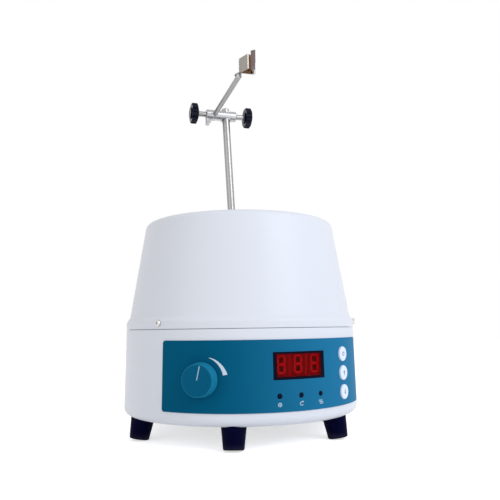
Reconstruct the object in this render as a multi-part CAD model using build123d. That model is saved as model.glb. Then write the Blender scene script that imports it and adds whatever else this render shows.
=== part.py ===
from build123d import *
import math
import os

# Laboratory heating mantle with a magnetic stirrer and a clip on a support rod.
# Millimetres. The origin is on the table, on the axis of the bowl. +Z is up and the control panel
# faces -Y. An angle round the body counts from the front (-Y), positive towards +X.

# ---------------------------------------------------------------- driving dimensions
BASE_RADIUS = 104.3  # base shell, near its foot
BASE_TOP_RADIUS = 103.0
BASE_UNDERSIDE = 18.1  # height of the base shell's floor above the table
BASE_CORNER = 6.0  # round between floor and wall
SPLIT_HEIGHT = 90.6  # joint line between the two shells
SKIRT_RADIUS = 103.1  # skirt of the upper shell, level with the base
FLARE_LOW, FLARE_HIGH = 96.6, 101.0  # sloping step between the skirt and the cone
SHELL_GAP = 0.25  # shadow line under the skirt
CONE_FOOT_RADIUS = 100.1
CONE_TOP_RADIUS = 86.4
DECK_HEIGHT = 186.0
DECK_CORNER = 5.5
WALL = 3.0
EDGE_ROUND = 1.0
FIT_GAP = 0.1  # round a fixed piece in its hole
SCREW_GAP = 0.05  # round the shank of a screw
THROUGH = 20.0  # cuts through any wall
LAP_RADIUS = 99.9  # upstand of the base, inside the skirt
LAP_WALL = 2.6
LAP_TOP = 98.6
LAP_GAP = 0.4
LAP_ROUND = 0.6
LAP_ROOT = (3.0, 7.0)  # below the joint, where the upstand runs into the wall
FLARE_ROUND = (3.0, 2.0)
SKIRT_EDGE = 0.4
DECK_COLLAR = (2.0, 6.0)  # thickness and depth of the collar round the bowl
HOLE_ROUND = 0.8
VENT_COUNT = 20
VENT_FIRST_ANGLE = 9.0
VENT_SIZE = (30.0, 3.2)
VENT_RING = 58.0

BOWL_RADIUS = 54.0  # holds a 500 ml flask of 105 mm diameter
BOWL_WALL = 3.0
BOWL_CENTRE = 184.0  # height of the sphere's centre
BOWL_RIM_WIDTH = 4.0
BOWL_RIM_HEIGHT = 2.4
DECK_HOLE = 57.6
HEATER_TURNS = 9  # rows of the sewn heating cord
HEATER_RELIEF = 0.9
HEATER_FROM, HEATER_TO = 12.0, 86.0  # degrees, from the bottom of the bowl
PAN_RADIUS = 63.0
PAN_WALL = 1.0
PAN_FLOOR = 117.0
PAN_FLANGE = 66.0
PAN_CORNER = 5.0
WOOL_GAP = 0.2
WOOL_BELOW_DECK = 3.5
CUTOUT_Y = 46.0
CUTOUT_CAN = (8.0, 5.0)  # radius and height
CUTOUT_BASE = (5.5, 4.0)
TAB_SIZE = (0.8, 4.6, 8.0)
TAB_REACH = 3.0

FOOT_COUNT = 6
FOOT_FIRST_ANGLE = -3.5
FOOT_RING_RADIUS = 91.9  # where the feet meet the floor
FOOT_SPLAY = 10.0  # degrees outwards
FOOT_TOP_RADIUS = 9.8
FOOT_SOLE_RADIUS = 8.0
FOOT_SOLE_RISE = 0.8  # centre of the tilted sole above the table
FOOT_SCREW_RADIUS = 2.0
FOOT_RECESS = 7.0
FOOT_RECESS_RADIUS = 4.2
FOOT_BOSS = (5.5, 9.0)  # radius and length, inside the base
FOOT_BOSS_RISE = 7.0
FOOT_EXTRA = 6.0  # length that is cut back to the base's underside
FOOT_SOLE_ROUND = 1.2
FOOT_HEAD = (3.6, 2.4)
FOOT_SCREW_GRIP = 8.0

PANEL_LEFT, PANEL_RIGHT = -35.5, 72.0  # degrees
PANEL_LOW, PANEL_HIGH = 28.5, 82.0
PANEL_THICKNESS = 0.6
PANEL_CORNER = 2.2
WINDOW_ANGLE = 26.2
WINDOW_HEIGHT = 62.3
WINDOW_SIZE = (45.8, 20.8)
WINDOW_LEDGE = (3.0, 2.4)
WINDOW_SPAN = 20.0  # degrees to each side, wider than the window
DIGIT_ANGLES = (17.9, 26.4, 35.0)
DIGIT_HEIGHT = 14.2
DIGIT_WIDTH = 7.4
SEGMENT_WIDTH = 1.5
SEGMENT_HEIGHT = 0.3
SEGMENT_GAP = 0.3
DIGIT_RISE = 0.8  # above the middle of the window
DISPLAY_BLOCK = (41.0, 17.4, 7.0)
DISPLAY_SHIFT = 0.5
SEAM_WIDTH, SEAM_DEPTH = 0.5, 0.8
BOARD_THICKNESS = 1.6
CONTROL_BOARD = (70.0, 46.0, BOARD_THICKNESS)
CONTROL_BOARD_SHIFT = (-3.0, -6.0)  # from the middle of the display
CHIP_SIZE = (18.0, 10.0, 3.5)
CHIP_SHIFT = (-22.0, -12.0)
LAMP_ANGLES = (16.1, 26.0, 36.2)
LAMP_HEIGHT = 40.1
LAMP_RADIUS = 2.0
LAMP_LENGTH = 8.0
LAMP_DOME = 0.7
LAMP_FLANGE = (0.6, 1.6)  # overhang and thickness
BUTTON_ANGLE = 52.9
BUTTON_HEIGHTS = (69.0, 53.9, 38.8)
BUTTON_NAMES = ("set_button", "up_button", "down_button")
BUTTON_RADIUS = 5.9
BUTTON_PROUD = 1.3
BUTTON_GAP = 0.3
BUTTON_LENGTH = 7.5
BUTTON_ROUND = 0.8
STEM_SIZE = (2.0, 2.0)  # radius and length
BUTTON_BOARD = (20.0, 46.0, BOARD_THICKNESS)
BUTTON_BOARD_DEPTH = 15.0  # behind the faces of the buttons
TACT_SWITCH = (7.0, 7.0, 4.3)
KNOB_ANGLE = -16.4
KNOB_HEIGHT = 53.1
KNOB_RADIUS = 13.0
KNOB_FRONT_RADIUS = 12.1
KNOB_DEPTH = 9.6
KNOB_EDGE = 1.2
KNOB_WALL = 1.6
HUB_START = 3.2
HUB_RADIUS = 4.6
POINTER_WIDTH = 0.9
POINTER_DEPTH = 0.4
KNOB_POINTER_TURN = 12.0  # degrees clockwise from straight up
KNOB_STANDOFF = 0.7
KNOB_HOLLOW = 7.2
SHAFT_RADIUS = 3.0
SHAFT_REACH = 7.6  # how far the shaft goes into the knob
BUSH_RADIUS = 3.5
BUSH_END = 2.6  # in front of the foil
POT_FACE = -5.2
POT_CAN = (8.4, 8.0)
POT_BORE_DEPTH = 12.4
SHAFT_INSIDE = 9.0  # length of the shaft behind the foil
POT_NUT = (5.6, 2.0)  # radius over the corners and thickness
POT_NUT_REST = 0.15
NUT_GAP = 0.02
RUNNING_GAP = 0.06
DISPLAY_FACE = 99.2  # distance of the flat display from the axis

SIDE_SCREW_ANGLES = (-38.6, 81.4, 201.4)
SIDE_SCREW_HEIGHT = 95.6
SIDE_HEAD_RADIUS = 2.7
SIDE_HEAD_HEIGHT = 2.0
SIDE_SHANK_LENGTH = 6.5
SIDE_FLAT_DEPTH = 2.4
SIDE_SHANK_RADIUS = 1.5

REAR_FLAT = 96.3  # distance of the flat rear panel from the axis
REAR_HALF_WIDTH = 37.0
REAR_LOW, REAR_HIGH = 31.0, 80.0
INLET_X, INLET_HEIGHT = -18.0, 55.5
SWITCH_X, SWITCH_HEIGHT = 10.5, 55.5
JACK_X, JACK_HEIGHT = 27.5, 55.5
JACK_BORE = 3.25
JACK_NECK = 5.4
JACK_NUT = (7.0, 6.6, 2.2)  # radius over the corners, chamfer radius and thickness
JACK_DEPTH = 12.0
JACK_COLLAR = (4.6, 3.8)  # radius, and height over the panel
JACK_CAN = (7.5, 14.0)
JACK_BORE_DEPTH = 18.0
INLET_BODY = (27.4, 39.0)
CAVITY_RISE = 8.5  # plug cavity, above the middle of the inlet
CAVITY_HALF = (12.2, 8.2)  # half width and half height
CAVITY_CUT = 3.4  # cut corners of the cavity
CAVITY_FLOOR = -14.0
FLANGE_SIZE = (31.0, 43.0, 2.5)  # width, height and corner
FLANGE_THICKNESS = 2.4
INLET_DEPTH = 24.0
LIP_ROUND = 0.7
PIN_SECTION = (2.0, 4.0, 0.6)
LIVE_LENGTH, EARTH_LENGTH = 11.0, 12.5
PIN_SIDEWAYS, PIN_UPWARDS = 7.0, 2.0
DRAWER_RISE = -11.5
DRAWER_SLOT = (24.0, 9.5)
DRAWER_SLOT_DEPTH = 19.0
DRAWER_GAP = 0.6
DRAWER_DEPTH = 18.0
DRAWER_WALL = 1.2
DRAWER_TRAY = (5.0, 11.0)  # start and length of its hollow
DRAWER_FRONT = 2.8
DRAWER_LIP = (10.0, 1.2, 1.4)
FUSE_RADIUS, FUSE_LENGTH = 2.5, 20.0
FUSE_PLACE = (-0.75, -10.5)
SWITCH_BODY = (12.8, 18.8)
BODY_GAP = 0.4
ROCKER_PIVOT = -1.0
BEZEL_SIZE = (15.0, 21.0, 1.5)
BEZEL_THICKNESS = 1.8
BEZEL_ROUND = 0.6
SWITCH_DEPTH = 15.0
SWITCH_WELL = (10.4, 16.6, 7.0)  # width, height and depth
PIVOT_RADIUS, PIVOT_LENGTH = 0.95, 11.2
ROCKER_WING = 7.4  # from the pivot to each end
ROCKER_CROWN, ROCKER_SLOPE = 3.4, 1.5
ROCKER_KEEL = (3.0, 2.6)
ROCKER_HALF_WIDTH = 4.8
ROCKER_REST = 9.0  # degrees

MOTOR_RADIUS = 26.0
MOTOR_LOW, MOTOR_HIGH = 50.0, 82.0
MOTOR_ROUND = 2.0
MOTOR_NOSE = (9.0, 4.0)  # radius and height
MOTOR_TAIL = (7.0, 5.0)
MOTOR_END = 6.0  # solid end of the can, under the bore
SHAFT_END_GAP = 0.4
HOLDER_THICKNESS = 4.0
HUB_SIZE = (7.0, 7.0)
CUP_WALL, CUP_HEIGHT, CUP_FLOOR = 1.5, 7.0, 2.0
MAGNET_HEIGHT = 5.0
BRACKET_HALF_DEPTH = 27.0
BRACKET_HALF_WIDTH, BRACKET_FOOT, BRACKET_SHEET = 42.0, 12.0, 2.0
MOTOR_SCREW = (2.8, 2.0, 1.5, 1.9)  # head radius and height, shank radius and length
HOLDER_RADIUS = 31.0
HOLDER_HEIGHT = 99.0
MAGNET_RADIUS = 7.0
MAGNET_REACH = 21.0
MOTOR_SCREW_SPOTS = ((-17, -12), (17, -12), (17, 12), (-17, 12))

POWER_BOARD = (76.0, 34.0, BOARD_THICKNESS)
POWER_BOARD_Y = 49.0
PILLAR_RADIUS, PILLAR_HEIGHT = 3.0, 6.0
PILLAR_SPOTS = ((-34, -13), (-34, 13), (34, -13), (34, 13))
CORE_SIZE = (34.0, 15.0, 28.0)
BOBBIN_SIZE = (24.0, 27.0, 20.0)
TRANSFORMER_X = -17.0
SINK_X = 21.0
SINK_BASE = (26.0, 24.0, 3.2)
FIN_SIZE = (26.0, 1.6, 20.0)
FIN_SPOTS = (-10, -5, 0, 5, 10)

ROD_X, ROD_Y = -6.5, 72.0  # where the rod's axis meets the deck
ROD_LEAN = 2.9  # degrees, to the left going up
ROD_RADIUS = 4.0
ROD_LENGTH = 159.6
ROD_BELOW_DECK = 14.0
ROD_CHAMFER = 0.8
SOCKET_NECK = 5.0
SOCKET_GAP = 0.3
SOCKET_FOOT = (8.0, 4.0)  # radius and height
SOCKET_TOP = (6.4, 10.0)
SOCKET_NUT = (6.6, 8.0)

ARM_HEIGHT = 323.5
ARM_YAW = 15.6  # degrees, from straight forward towards +X
ARM_RADIUS = 2.5
ARM_OFFSET = 12.9  # from the rod's axis to the arm's
ARM_FRONT = 100.8  # from the rod's axis to the clip
ARM_BACK = 9.5
ARM_CHAMFER = 0.4
BOSS_RADIUS = 5.6
BOSS_ROUND = 1.0
BOSS_LEFT, BOSS_RIGHT = -22.3, 11.2
ROD_EYE_RADIUS = 6.8
ROD_EYE_SHIFT = (1.0, 2.4)
ROD_EYE_HEIGHT = 9.6
ARM_EYE_RADIUS = 4.4
ARM_EYE_BACK = 7.0
FINGER_CORNERS = ((-22.2, 0), (-22.6, -12.0), (-19.2, -12.0), (-14.0, -4.0), (-14.0, 0))
FINGER_ROUND = 1.5
FINGER_HALF_WIDTH = 2.6
FINGER_EDGE = 0.6
ROD_BORE = 4.65  # roomy, so that the boss hangs level on the leaning rod
SCREW_RADIUS = 2.9
STAR_RADIUS = 11.1
STAR_WIDTH = 6.6
STAR_LOBES = 8
STAR_ROUND = 1.4
SCOOP_RADIUS, SCOOP_REACH = 2.9, 12.2  # hollows between the lobes
STAR_HUB = (6.0, 1.2)  # radius, and how far it stands out at each side
STUD_GRIP = 4.0  # length of a stud inside its knob
ARM_STUD_GAP, ROD_STUD_GAP = 0.3, 0.6
STAR_LEFT, STAR_RIGHT = -35.6, 24.7

JAW_LOW, JAW_HIGH = 326.1, 340.1
JAW_TAB_HIGH = 343.6
JAW_SHEET = 1.1
CLIP_CENTRE = 6.9  # middle of the clip, to the right of the arm
CLIP_HALF_WIDTH = 7.3
CLIP_BACK, CLIP_TIP = 2.2, 14.4
JAW_GAP = 1.1  # half the distance between the tips of the jaws
JAW_PIN_RADIUS = 0.8
PIN_HEAD_RADIUS, PIN_HEAD_HEIGHT = 1.4, 0.6
SPRING_ROOM = 3.0  # between the top knuckle and the pin's head
SPRING_PITCH, WIRE_RADIUS = 0.74, 0.35
KNUCKLE_RADIUS = 1.7
KNUCKLE_HEIGHT = 3.4
JAW_CLEARANCE = 0.3
PAD_GAP = 0.15  # half the slit between the pads
PAD_WIDTH = 4.1  # of one pad, at its back
GROOVE_RADIUS, GROOVE_BEHIND = 1.6, 4.0  # groove for the probe, behind the tip
CLIP_SCREW_RADIUS = 1.2
CLIP_SCREW_HEAD = 1.9
CLIP_HEAD_HEIGHT = 1.3
CLIP_SCREW_END = 322.0  # height of the screw's tip
CLIP_SCREW_BEHIND = 3.6  # from the arm's measured end to the clip's screw
TONGUE_BEHIND = 6.6

# ---------------------------------------------------------------- helpers
FOREVER = 400.0  # longer than the whole object
UPWARDS = (Align.CENTER, Align.CENTER, Align.MIN)
DOWNWARDS = (Align.CENTER, Align.CENTER, Align.MAX)
FOOT_ANGLES = [FOOT_FIRST_ANGLE + 360.0 / FOOT_COUNT * index for index in range(FOOT_COUNT)]
ROD_FRAME = Location((ROD_X, ROD_Y, DECK_HEIGHT), (0, -ROD_LEAN, 0))
ROD_X_AT_ARM = ROD_X - (ARM_HEIGHT - DECK_HEIGHT) * math.tan(math.radians(ROD_LEAN))
BOSS_FRAME = Location((ROD_X_AT_ARM, ROD_Y, ARM_HEIGHT), (0, 0, ARM_YAW))
CLIP_FRAME = BOSS_FRAME * Location((-ARM_OFFSET, -ARM_FRONT, -ARM_HEIGHT))


def outline(points, radii=0.0):
    """Closed face in the XZ plane, with each corner rounded by its own radius."""
    corners = [(r, 0, z) for r, z in points]
    if not radii:
        return make_face(Polyline(*corners, close=True))
    return make_face(FilletPolyline(*corners, radius=radii, close=True))


def turned(points, radii=0.0, sweep=360.0):
    """Solid of revolution about the vertical axis."""
    return revolve(outline(points, radii), Axis.Z, sweep)


def radial(angle, radius, height):
    """Plane that looks outwards at an angle round the body, with its local Y upwards."""
    turn = math.radians(angle)
    out = (math.sin(turn), -math.cos(turn), 0)
    return Plane(
        origin=(radius * out[0], radius * out[1], height),
        x_dir=(math.cos(turn), math.sin(turn), 0),
        z_dir=out,
    )


def base_radius_at(height):
    """Radius of the base shell's outside, which leans in by its draft."""
    rise = (height - BASE_UNDERSIDE) / (SPLIT_HEIGHT - BASE_UNDERSIDE)
    return BASE_RADIUS + (BASE_TOP_RADIUS - BASE_RADIUS) * rise


def drilled(part, plane, radius, depth=20.0):
    """Round hole through a wall, along the plane's normal and centred on its origin."""
    return part - plane * Cylinder(radius, depth)


def ring_pattern(count, first_angle, make):
    """Like pieces, made one by one for each angle of a ring."""
    return [make(first_angle + 360.0 / count * index) for index in range(count)]


def pan_head_screw(head_radius, head_height, shank_radius, shank_length):
    """Cross-head screw: head above the local XY plane, shank below it."""
    head = Cylinder(head_radius, head_height, align=UPWARDS)
    head = fillet(head.edges().group_by(Axis.Z)[-1], head_height * 0.45)
    shank = Cylinder(shank_radius, shank_length, align=DOWNWARDS)
    arm = (1.1 * head_radius, 0.22 * head_radius, head_height)
    cross = Pos(0, 0, head_height) * (Box(*arm) + Rot(0, 0, 90) * Box(*arm))
    return head + shank - cross


# ---------------------------------------------------------------- shells
def base_envelope():
    """Outside of the base, as if it were solid."""
    return turned(
        [
            (0, BASE_UNDERSIDE),
            (BASE_RADIUS, BASE_UNDERSIDE),
            (BASE_TOP_RADIUS, SPLIT_HEIGHT),
            (0, SPLIT_HEIGHT),
        ],
        [0, BASE_CORNER, EDGE_ROUND, 0],
    )


def base_tub():
    """Turned form of the base: floor, wall and the upstand that locates the upper shell."""
    floor = BASE_UNDERSIDE + WALL
    lap_inside = LAP_RADIUS - LAP_WALL
    return turned(
        [
            (0, BASE_UNDERSIDE),
            (BASE_RADIUS, BASE_UNDERSIDE),
            (BASE_TOP_RADIUS, SPLIT_HEIGHT),
            (LAP_RADIUS, SPLIT_HEIGHT),
            (LAP_RADIUS, LAP_TOP),
            (lap_inside, LAP_TOP),
            (lap_inside, SPLIT_HEIGHT - LAP_ROOT[0]),
            (BASE_TOP_RADIUS - WALL, SPLIT_HEIGHT - LAP_ROOT[1]),
            (BASE_RADIUS - WALL, floor),
            (0, floor),
        ],
        [0, BASE_CORNER, EDGE_ROUND, 0, LAP_ROUND, 0, 0, 0, WALL, 0],
    )


def rear_recess(tub):
    """Flat panel let into the back of the tub, for the inlet, the switch and the sensor jack."""
    middle = (REAR_LOW + REAR_HIGH) / 2
    height = REAR_HIGH - REAR_LOW
    pad = Pos(0, REAR_FLAT - WALL / 2, middle) * Box(2 * (REAR_HALF_WIDTH + WALL), WALL, height + 2 * WALL)
    recess = Pos(0, REAR_FLAT + THROUGH / 2, middle) * Box(2 * REAR_HALF_WIDTH, THROUGH, height)
    recess = fillet(recess.edges().filter_by(Axis.Y), WALL)
    return tub + (pad & base_envelope()) - recess


def floor_vents():
    """Radial slots in the floor, under the motor."""
    slot = Pos(VENT_RING, 0, BASE_UNDERSIDE) * extrude(SlotOverall(*VENT_SIZE), 2 * WALL, both=True)
    return ring_pattern(VENT_COUNT, VENT_FIRST_ANGLE, lambda angle: Rot(0, 0, angle) * slot)


def foot_plane(angle):
    """Plane at the top of a foot, looking down and outwards along the foot."""
    turn, splay = math.radians(angle), math.radians(FOOT_SPLAY)
    out = (math.sin(turn), -math.cos(turn))
    return Plane(
        origin=(FOOT_RING_RADIUS * out[0], FOOT_RING_RADIUS * out[1], BASE_UNDERSIDE),
        x_dir=(math.cos(turn), math.sin(turn), 0),
        z_dir=(out[0] * math.sin(splay), out[1] * math.sin(splay), -math.cos(splay)),
    )


def base_shell():
    tub = rear_recess(base_tub())
    window = WINDOW_SIZE[0] - WINDOW_LEDGE[0], WINDOW_SIZE[1] - WINDOW_LEDGE[1]
    tub -= radial(WINDOW_ANGLE, BASE_RADIUS, WINDOW_HEIGHT) * Box(*window, THROUGH)
    for angle in LAMP_ANGLES:
        tub = drilled(tub, radial(angle, BASE_RADIUS, LAMP_HEIGHT), LAMP_RADIUS + FIT_GAP)
    for height in BUTTON_HEIGHTS:
        tub = drilled(tub, radial(BUTTON_ANGLE, BASE_RADIUS, height), BUTTON_RADIUS + BUTTON_GAP)
    tub = drilled(tub, radial(KNOB_ANGLE, BASE_RADIUS, KNOB_HEIGHT), BUSH_RADIUS + FIT_GAP)
    for angle in SIDE_SCREW_ANGLES:
        tub = drilled(tub, radial(angle, LAP_RADIUS, SIDE_SCREW_HEIGHT), SIDE_SHANK_RADIUS + SCREW_GAP)
    for angle in FOOT_ANGLES:
        tub += foot_plane(angle) * Pos(0, 0, -FOOT_BOSS_RISE) * Cylinder(*FOOT_BOSS)
        tub = drilled(tub, foot_plane(angle), FOOT_SCREW_RADIUS + SCREW_GAP, FOREVER)
    tub -= floor_vents()
    rear_bodies = [(INLET_X, INLET_HEIGHT, INLET_BODY), (SWITCH_X, SWITCH_HEIGHT, SWITCH_BODY)]
    for x, height, (wide, tall) in rear_bodies:
        tub -= Pos(x, REAR_FLAT, height) * Box(wide + BODY_GAP, THROUGH, tall + BODY_GAP)
    return drilled(tub, rear_plane(JACK_X, JACK_HEIGHT), JACK_NECK + FIT_GAP)


def upper_shell():
    """Conical cover with a flared skirt below, a flat for each side screw and the deck on top."""
    skirt_inside = LAP_RADIUS + LAP_GAP
    cover = turned(
        [
            (SKIRT_RADIUS, SPLIT_HEIGHT + SHELL_GAP),
            (SKIRT_RADIUS, FLARE_LOW),
            (CONE_FOOT_RADIUS, FLARE_HIGH),
            (CONE_TOP_RADIUS, DECK_HEIGHT),
            (DECK_HOLE, DECK_HEIGHT),
            (DECK_HOLE, DECK_HEIGHT - DECK_COLLAR[1]),
            (DECK_HOLE + DECK_COLLAR[0], DECK_HEIGHT - DECK_COLLAR[1]),
            (DECK_HOLE + DECK_COLLAR[0], DECK_HEIGHT - WALL),
            (CONE_TOP_RADIUS - WALL, DECK_HEIGHT - WALL),
            (CONE_FOOT_RADIUS - WALL, LAP_TOP),
            (skirt_inside, LAP_TOP),
            (skirt_inside, SPLIT_HEIGHT + SHELL_GAP),
        ],
        [SKIRT_EDGE, *FLARE_ROUND, DECK_CORNER, HOLE_ROUND, 0, 0, 0, DECK_CORNER - WALL, 0, 0, 0],
    )
    for angle in SIDE_SCREW_ANGLES:
        place = radial(angle, SKIRT_RADIUS, SIDE_SCREW_HEIGHT)
        cover += place * Cylinder(SIDE_HEAD_RADIUS, SIDE_FLAT_DEPTH, align=DOWNWARDS)
        cover = drilled(cover, place, SIDE_SHANK_RADIUS + FIT_GAP)
    return cover - ROD_FRAME * Cylinder(SOCKET_NECK + SOCKET_GAP, THROUGH)


# ---------------------------------------------------------------- heating bowl and its insulation
def heating_bowl():
    """Woven glass bowl: a hemisphere with raised rows of heating cord and a rolled rim."""

    def on_sphere(radius, degrees):
        turn = math.radians(degrees)
        return (radius * math.sin(turn), 0, BOWL_CENTRE - radius * math.cos(turn))

    step = (HEATER_TO - HEATER_FROM) / HEATER_TURNS
    rows = [ThreePointArc(on_sphere(BOWL_RADIUS, 0), on_sphere(BOWL_RADIUS, HEATER_FROM / 2),
                          on_sphere(BOWL_RADIUS, HEATER_FROM))]
    for row in range(HEATER_TURNS):
        start = HEATER_FROM + row * step
        rows.append(ThreePointArc(on_sphere(BOWL_RADIUS, start),
                                  on_sphere(BOWL_RADIUS - HEATER_RELIEF, start + step / 2),
                                  on_sphere(BOWL_RADIUS, start + step)))
    outside = BOWL_RADIUS + BOWL_WALL
    mouth = on_sphere(BOWL_RADIUS, HEATER_TO)
    rim_out = DECK_HOLE + BOWL_RIM_WIDTH
    rim = [
        Line(mouth, (BOWL_RADIUS, 0, DECK_HEIGHT)),
        ThreePointArc((BOWL_RADIUS, 0, DECK_HEIGHT),
                      ((BOWL_RADIUS + rim_out) / 2, 0, DECK_HEIGHT + BOWL_RIM_HEIGHT),
                      (rim_out, 0, DECK_HEIGHT)),
        Line((rim_out, 0, DECK_HEIGHT), (outside, 0, DECK_HEIGHT)),
        Line((outside, 0, DECK_HEIGHT), (outside, 0, BOWL_CENTRE)),
        ThreePointArc(on_sphere(outside, 90), on_sphere(outside, 45), on_sphere(outside, 0)),
        Line(on_sphere(outside, 0), on_sphere(BOWL_RADIUS, 0)),
    ]
    return revolve(make_face(Wire(rows + rim)), Axis.Z)


def heat_shield():
    """Spun metal pan that hangs under the deck by its flange."""
    top = DECK_HEIGHT - WALL
    return turned(
        [
            (0, PAN_FLOOR),
            (PAN_RADIUS, PAN_FLOOR),
            (PAN_RADIUS, top - PAN_WALL),
            (PAN_FLANGE, top - PAN_WALL),
            (PAN_FLANGE, top),
            (PAN_RADIUS - PAN_WALL, top),
            (PAN_RADIUS - PAN_WALL, PAN_FLOOR + PAN_WALL),
            (0, PAN_FLOOR + PAN_WALL),
        ],
        [0, PAN_CORNER, 0, 0, 0, 0, PAN_CORNER - PAN_WALL, 0],
    )


def insulation():
    """Mineral wool packed between the bowl and the pan."""
    top = DECK_HEIGHT - WALL - WOOL_BELOW_DECK
    wool = turned(
        [
            (0, PAN_FLOOR + PAN_WALL + WOOL_GAP),
            (PAN_RADIUS - PAN_WALL - WOOL_GAP, PAN_FLOOR + PAN_WALL + WOOL_GAP),
            (PAN_RADIUS - PAN_WALL - WOOL_GAP, top),
            (0, top),
        ],
        [0, PAN_CORNER - PAN_WALL, 0, 0],
    )
    return wool - Pos(0, 0, BOWL_CENTRE) * Sphere(BOWL_RADIUS + BOWL_WALL + WOOL_GAP)


def thermal_cutout():
    """Disc thermostat under the pan, with two tab terminals."""
    can = Cylinder(*CUTOUT_CAN, align=DOWNWARDS)
    foot = Pos(0, 0, -CUTOUT_CAN[1]) * Cylinder(*CUTOUT_BASE, align=DOWNWARDS)
    below = -CUTOUT_CAN[1] - CUTOUT_BASE[1]
    tabs = [Pos(x, 0, below) * Box(*TAB_SIZE, align=DOWNWARDS) for x in (-TAB_REACH, TAB_REACH)]
    return Pos(0, CUTOUT_Y, PAN_FLOOR) * (can + foot + tabs)


# ---------------------------------------------------------------- stirrer
def stirrer_motor():
    """Motor can with a front boss, bored for its shaft."""
    can = Pos(0, 0, MOTOR_LOW) * Cylinder(MOTOR_RADIUS, MOTOR_HIGH - MOTOR_LOW, align=UPWARDS)
    can = fillet(can.edges().filter_by(GeomType.CIRCLE), MOTOR_ROUND)
    boss = Pos(0, 0, MOTOR_HIGH) * Cylinder(*MOTOR_NOSE, align=UPWARDS)
    tail = Pos(0, 0, MOTOR_LOW) * Cylinder(*MOTOR_TAIL, align=DOWNWARDS)
    bore = Pos(0, 0, MOTOR_LOW + MOTOR_END) * Cylinder(SHAFT_RADIUS + RUNNING_GAP, FOREVER, align=UPWARDS)
    return can + boss + tail - bore


def motor_shaft():
    low = MOTOR_LOW + MOTOR_END + SHAFT_END_GAP
    return Pos(0, 0, low) * Cylinder(SHAFT_RADIUS, HOLDER_HEIGHT + HOLDER_THICKNESS - low, align=UPWARDS)


def magnet_holder():
    """Moulded disc on the shaft, with a cup for each magnet."""
    disc = Pos(0, 0, HOLDER_HEIGHT) * Cylinder(HOLDER_RADIUS, HOLDER_THICKNESS, align=UPWARDS)
    hub = Pos(0, 0, HOLDER_HEIGHT) * Cylinder(*HUB_SIZE, align=DOWNWARDS)
    holder = disc + hub
    for x in (-MAGNET_REACH, MAGNET_REACH):
        holder += Pos(x, 0, HOLDER_HEIGHT) * Cylinder(MAGNET_RADIUS + CUP_WALL, CUP_HEIGHT, align=UPWARDS)
        holder -= Pos(x, 0, HOLDER_HEIGHT + CUP_FLOOR) * Cylinder(MAGNET_RADIUS, CUP_HEIGHT, align=UPWARDS)
    return holder - Pos(0, 0, HOLDER_HEIGHT) * Cylinder(SHAFT_RADIUS, 2 * (HUB_SIZE[1] + HOLDER_THICKNESS))


def stirrer_magnets():
    """Two disc magnets, pressed into the cups of the holder."""
    magnet = Cylinder(MAGNET_RADIUS, MAGNET_HEIGHT, align=UPWARDS)
    return [Pos(x, 0, HOLDER_HEIGHT + CUP_FLOOR) * magnet for x in (-MAGNET_REACH, MAGNET_REACH)]


def motor_bracket():
    """Folded bridge that carries the motor over the floor."""
    half, foot, sheet = BRACKET_HALF_WIDTH, BRACKET_FOOT, BRACKET_SHEET
    low, high = BASE_UNDERSIDE + WALL, MOTOR_HIGH
    bridge = outline(
        [
            (-half - foot, low),
            (-half, low),
            (-half, high),
            (half, high),
            (half, low),
            (half + foot, low),
            (half + foot, low + sheet),
            (half + sheet, low + sheet),
            (half + sheet, high + sheet),
            (-half - sheet, high + sheet),
            (-half - sheet, low + sheet),
            (-half - foot, low + sheet),
        ],
    )
    bridge = extrude(bridge, BRACKET_HALF_DEPTH, both=True)
    bridge -= Pos(0, 0, high) * Cylinder(MOTOR_NOSE[0] + 2 * FIT_GAP, THROUGH)
    for x, y in MOTOR_SCREW_SPOTS:
        bridge -= Pos(x, y, high) * Cylinder(MOTOR_SCREW[2] + FIT_GAP, THROUGH)
    return bridge


def motor_screws():
    screw = pan_head_screw(*MOTOR_SCREW)
    return [Pos(x, y, MOTOR_HIGH + BRACKET_SHEET) * screw for x, y in MOTOR_SCREW_SPOTS]


# ---------------------------------------------------------------- feet
def foot(angle):
    """Tapered rubber foot, splayed outwards, whose sole is flat where it meets the table."""
    length = (BASE_UNDERSIDE - FOOT_SOLE_RISE) / math.cos(math.radians(FOOT_SPLAY))
    slope = (FOOT_TOP_RADIUS - FOOT_SOLE_RADIUS) / length
    body = Cone(FOOT_TOP_RADIUS + FOOT_EXTRA * slope, FOOT_SOLE_RADIUS, length + FOOT_EXTRA, align=UPWARDS)
    body = Pos(0, 0, -FOOT_EXTRA) * body
    body = fillet(body.edges().group_by(Axis.Z)[-1], FOOT_SOLE_ROUND)
    body -= Pos(0, 0, length) * Cylinder(FOOT_RECESS_RADIUS, 2 * FOOT_RECESS)
    body -= Cylinder(FOOT_SCREW_RADIUS + SCREW_GAP, FOREVER)
    body = foot_plane(angle) * body - base_envelope()
    return body - Box(FOREVER, FOREVER, FOREVER, align=DOWNWARDS)


def foot_screws():
    """One screw through each foot, with its head in the recess of the sole."""
    length = (BASE_UNDERSIDE - FOOT_SOLE_RISE) / math.cos(math.radians(FOOT_SPLAY))
    screw = pan_head_screw(*FOOT_HEAD, FOOT_SCREW_RADIUS, length - FOOT_RECESS + FOOT_SCREW_GRIP)
    return [foot_plane(angle) * Pos(0, 0, length - FOOT_RECESS) * screw for angle in FOOT_ANGLES]


# ---------------------------------------------------------------- control panel
def curved_plate(left, right, low, high, thickness, corner):
    """Sheet that wraps the base between two angles and two heights."""
    inner = [base_radius_at(low), base_radius_at(high)]
    sheet = turned(
        [
            (inner[0], low),
            (inner[0] + thickness, low),
            (inner[1] + thickness, high),
            (inner[1], high),
        ],
        sweep=right - left,
    )
    sheet = Rot(0, 0, left - 90) * sheet
    short = [edge for edge in sheet.edges() if edge.length < thickness * 1.5]
    return fillet(short, corner)


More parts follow.
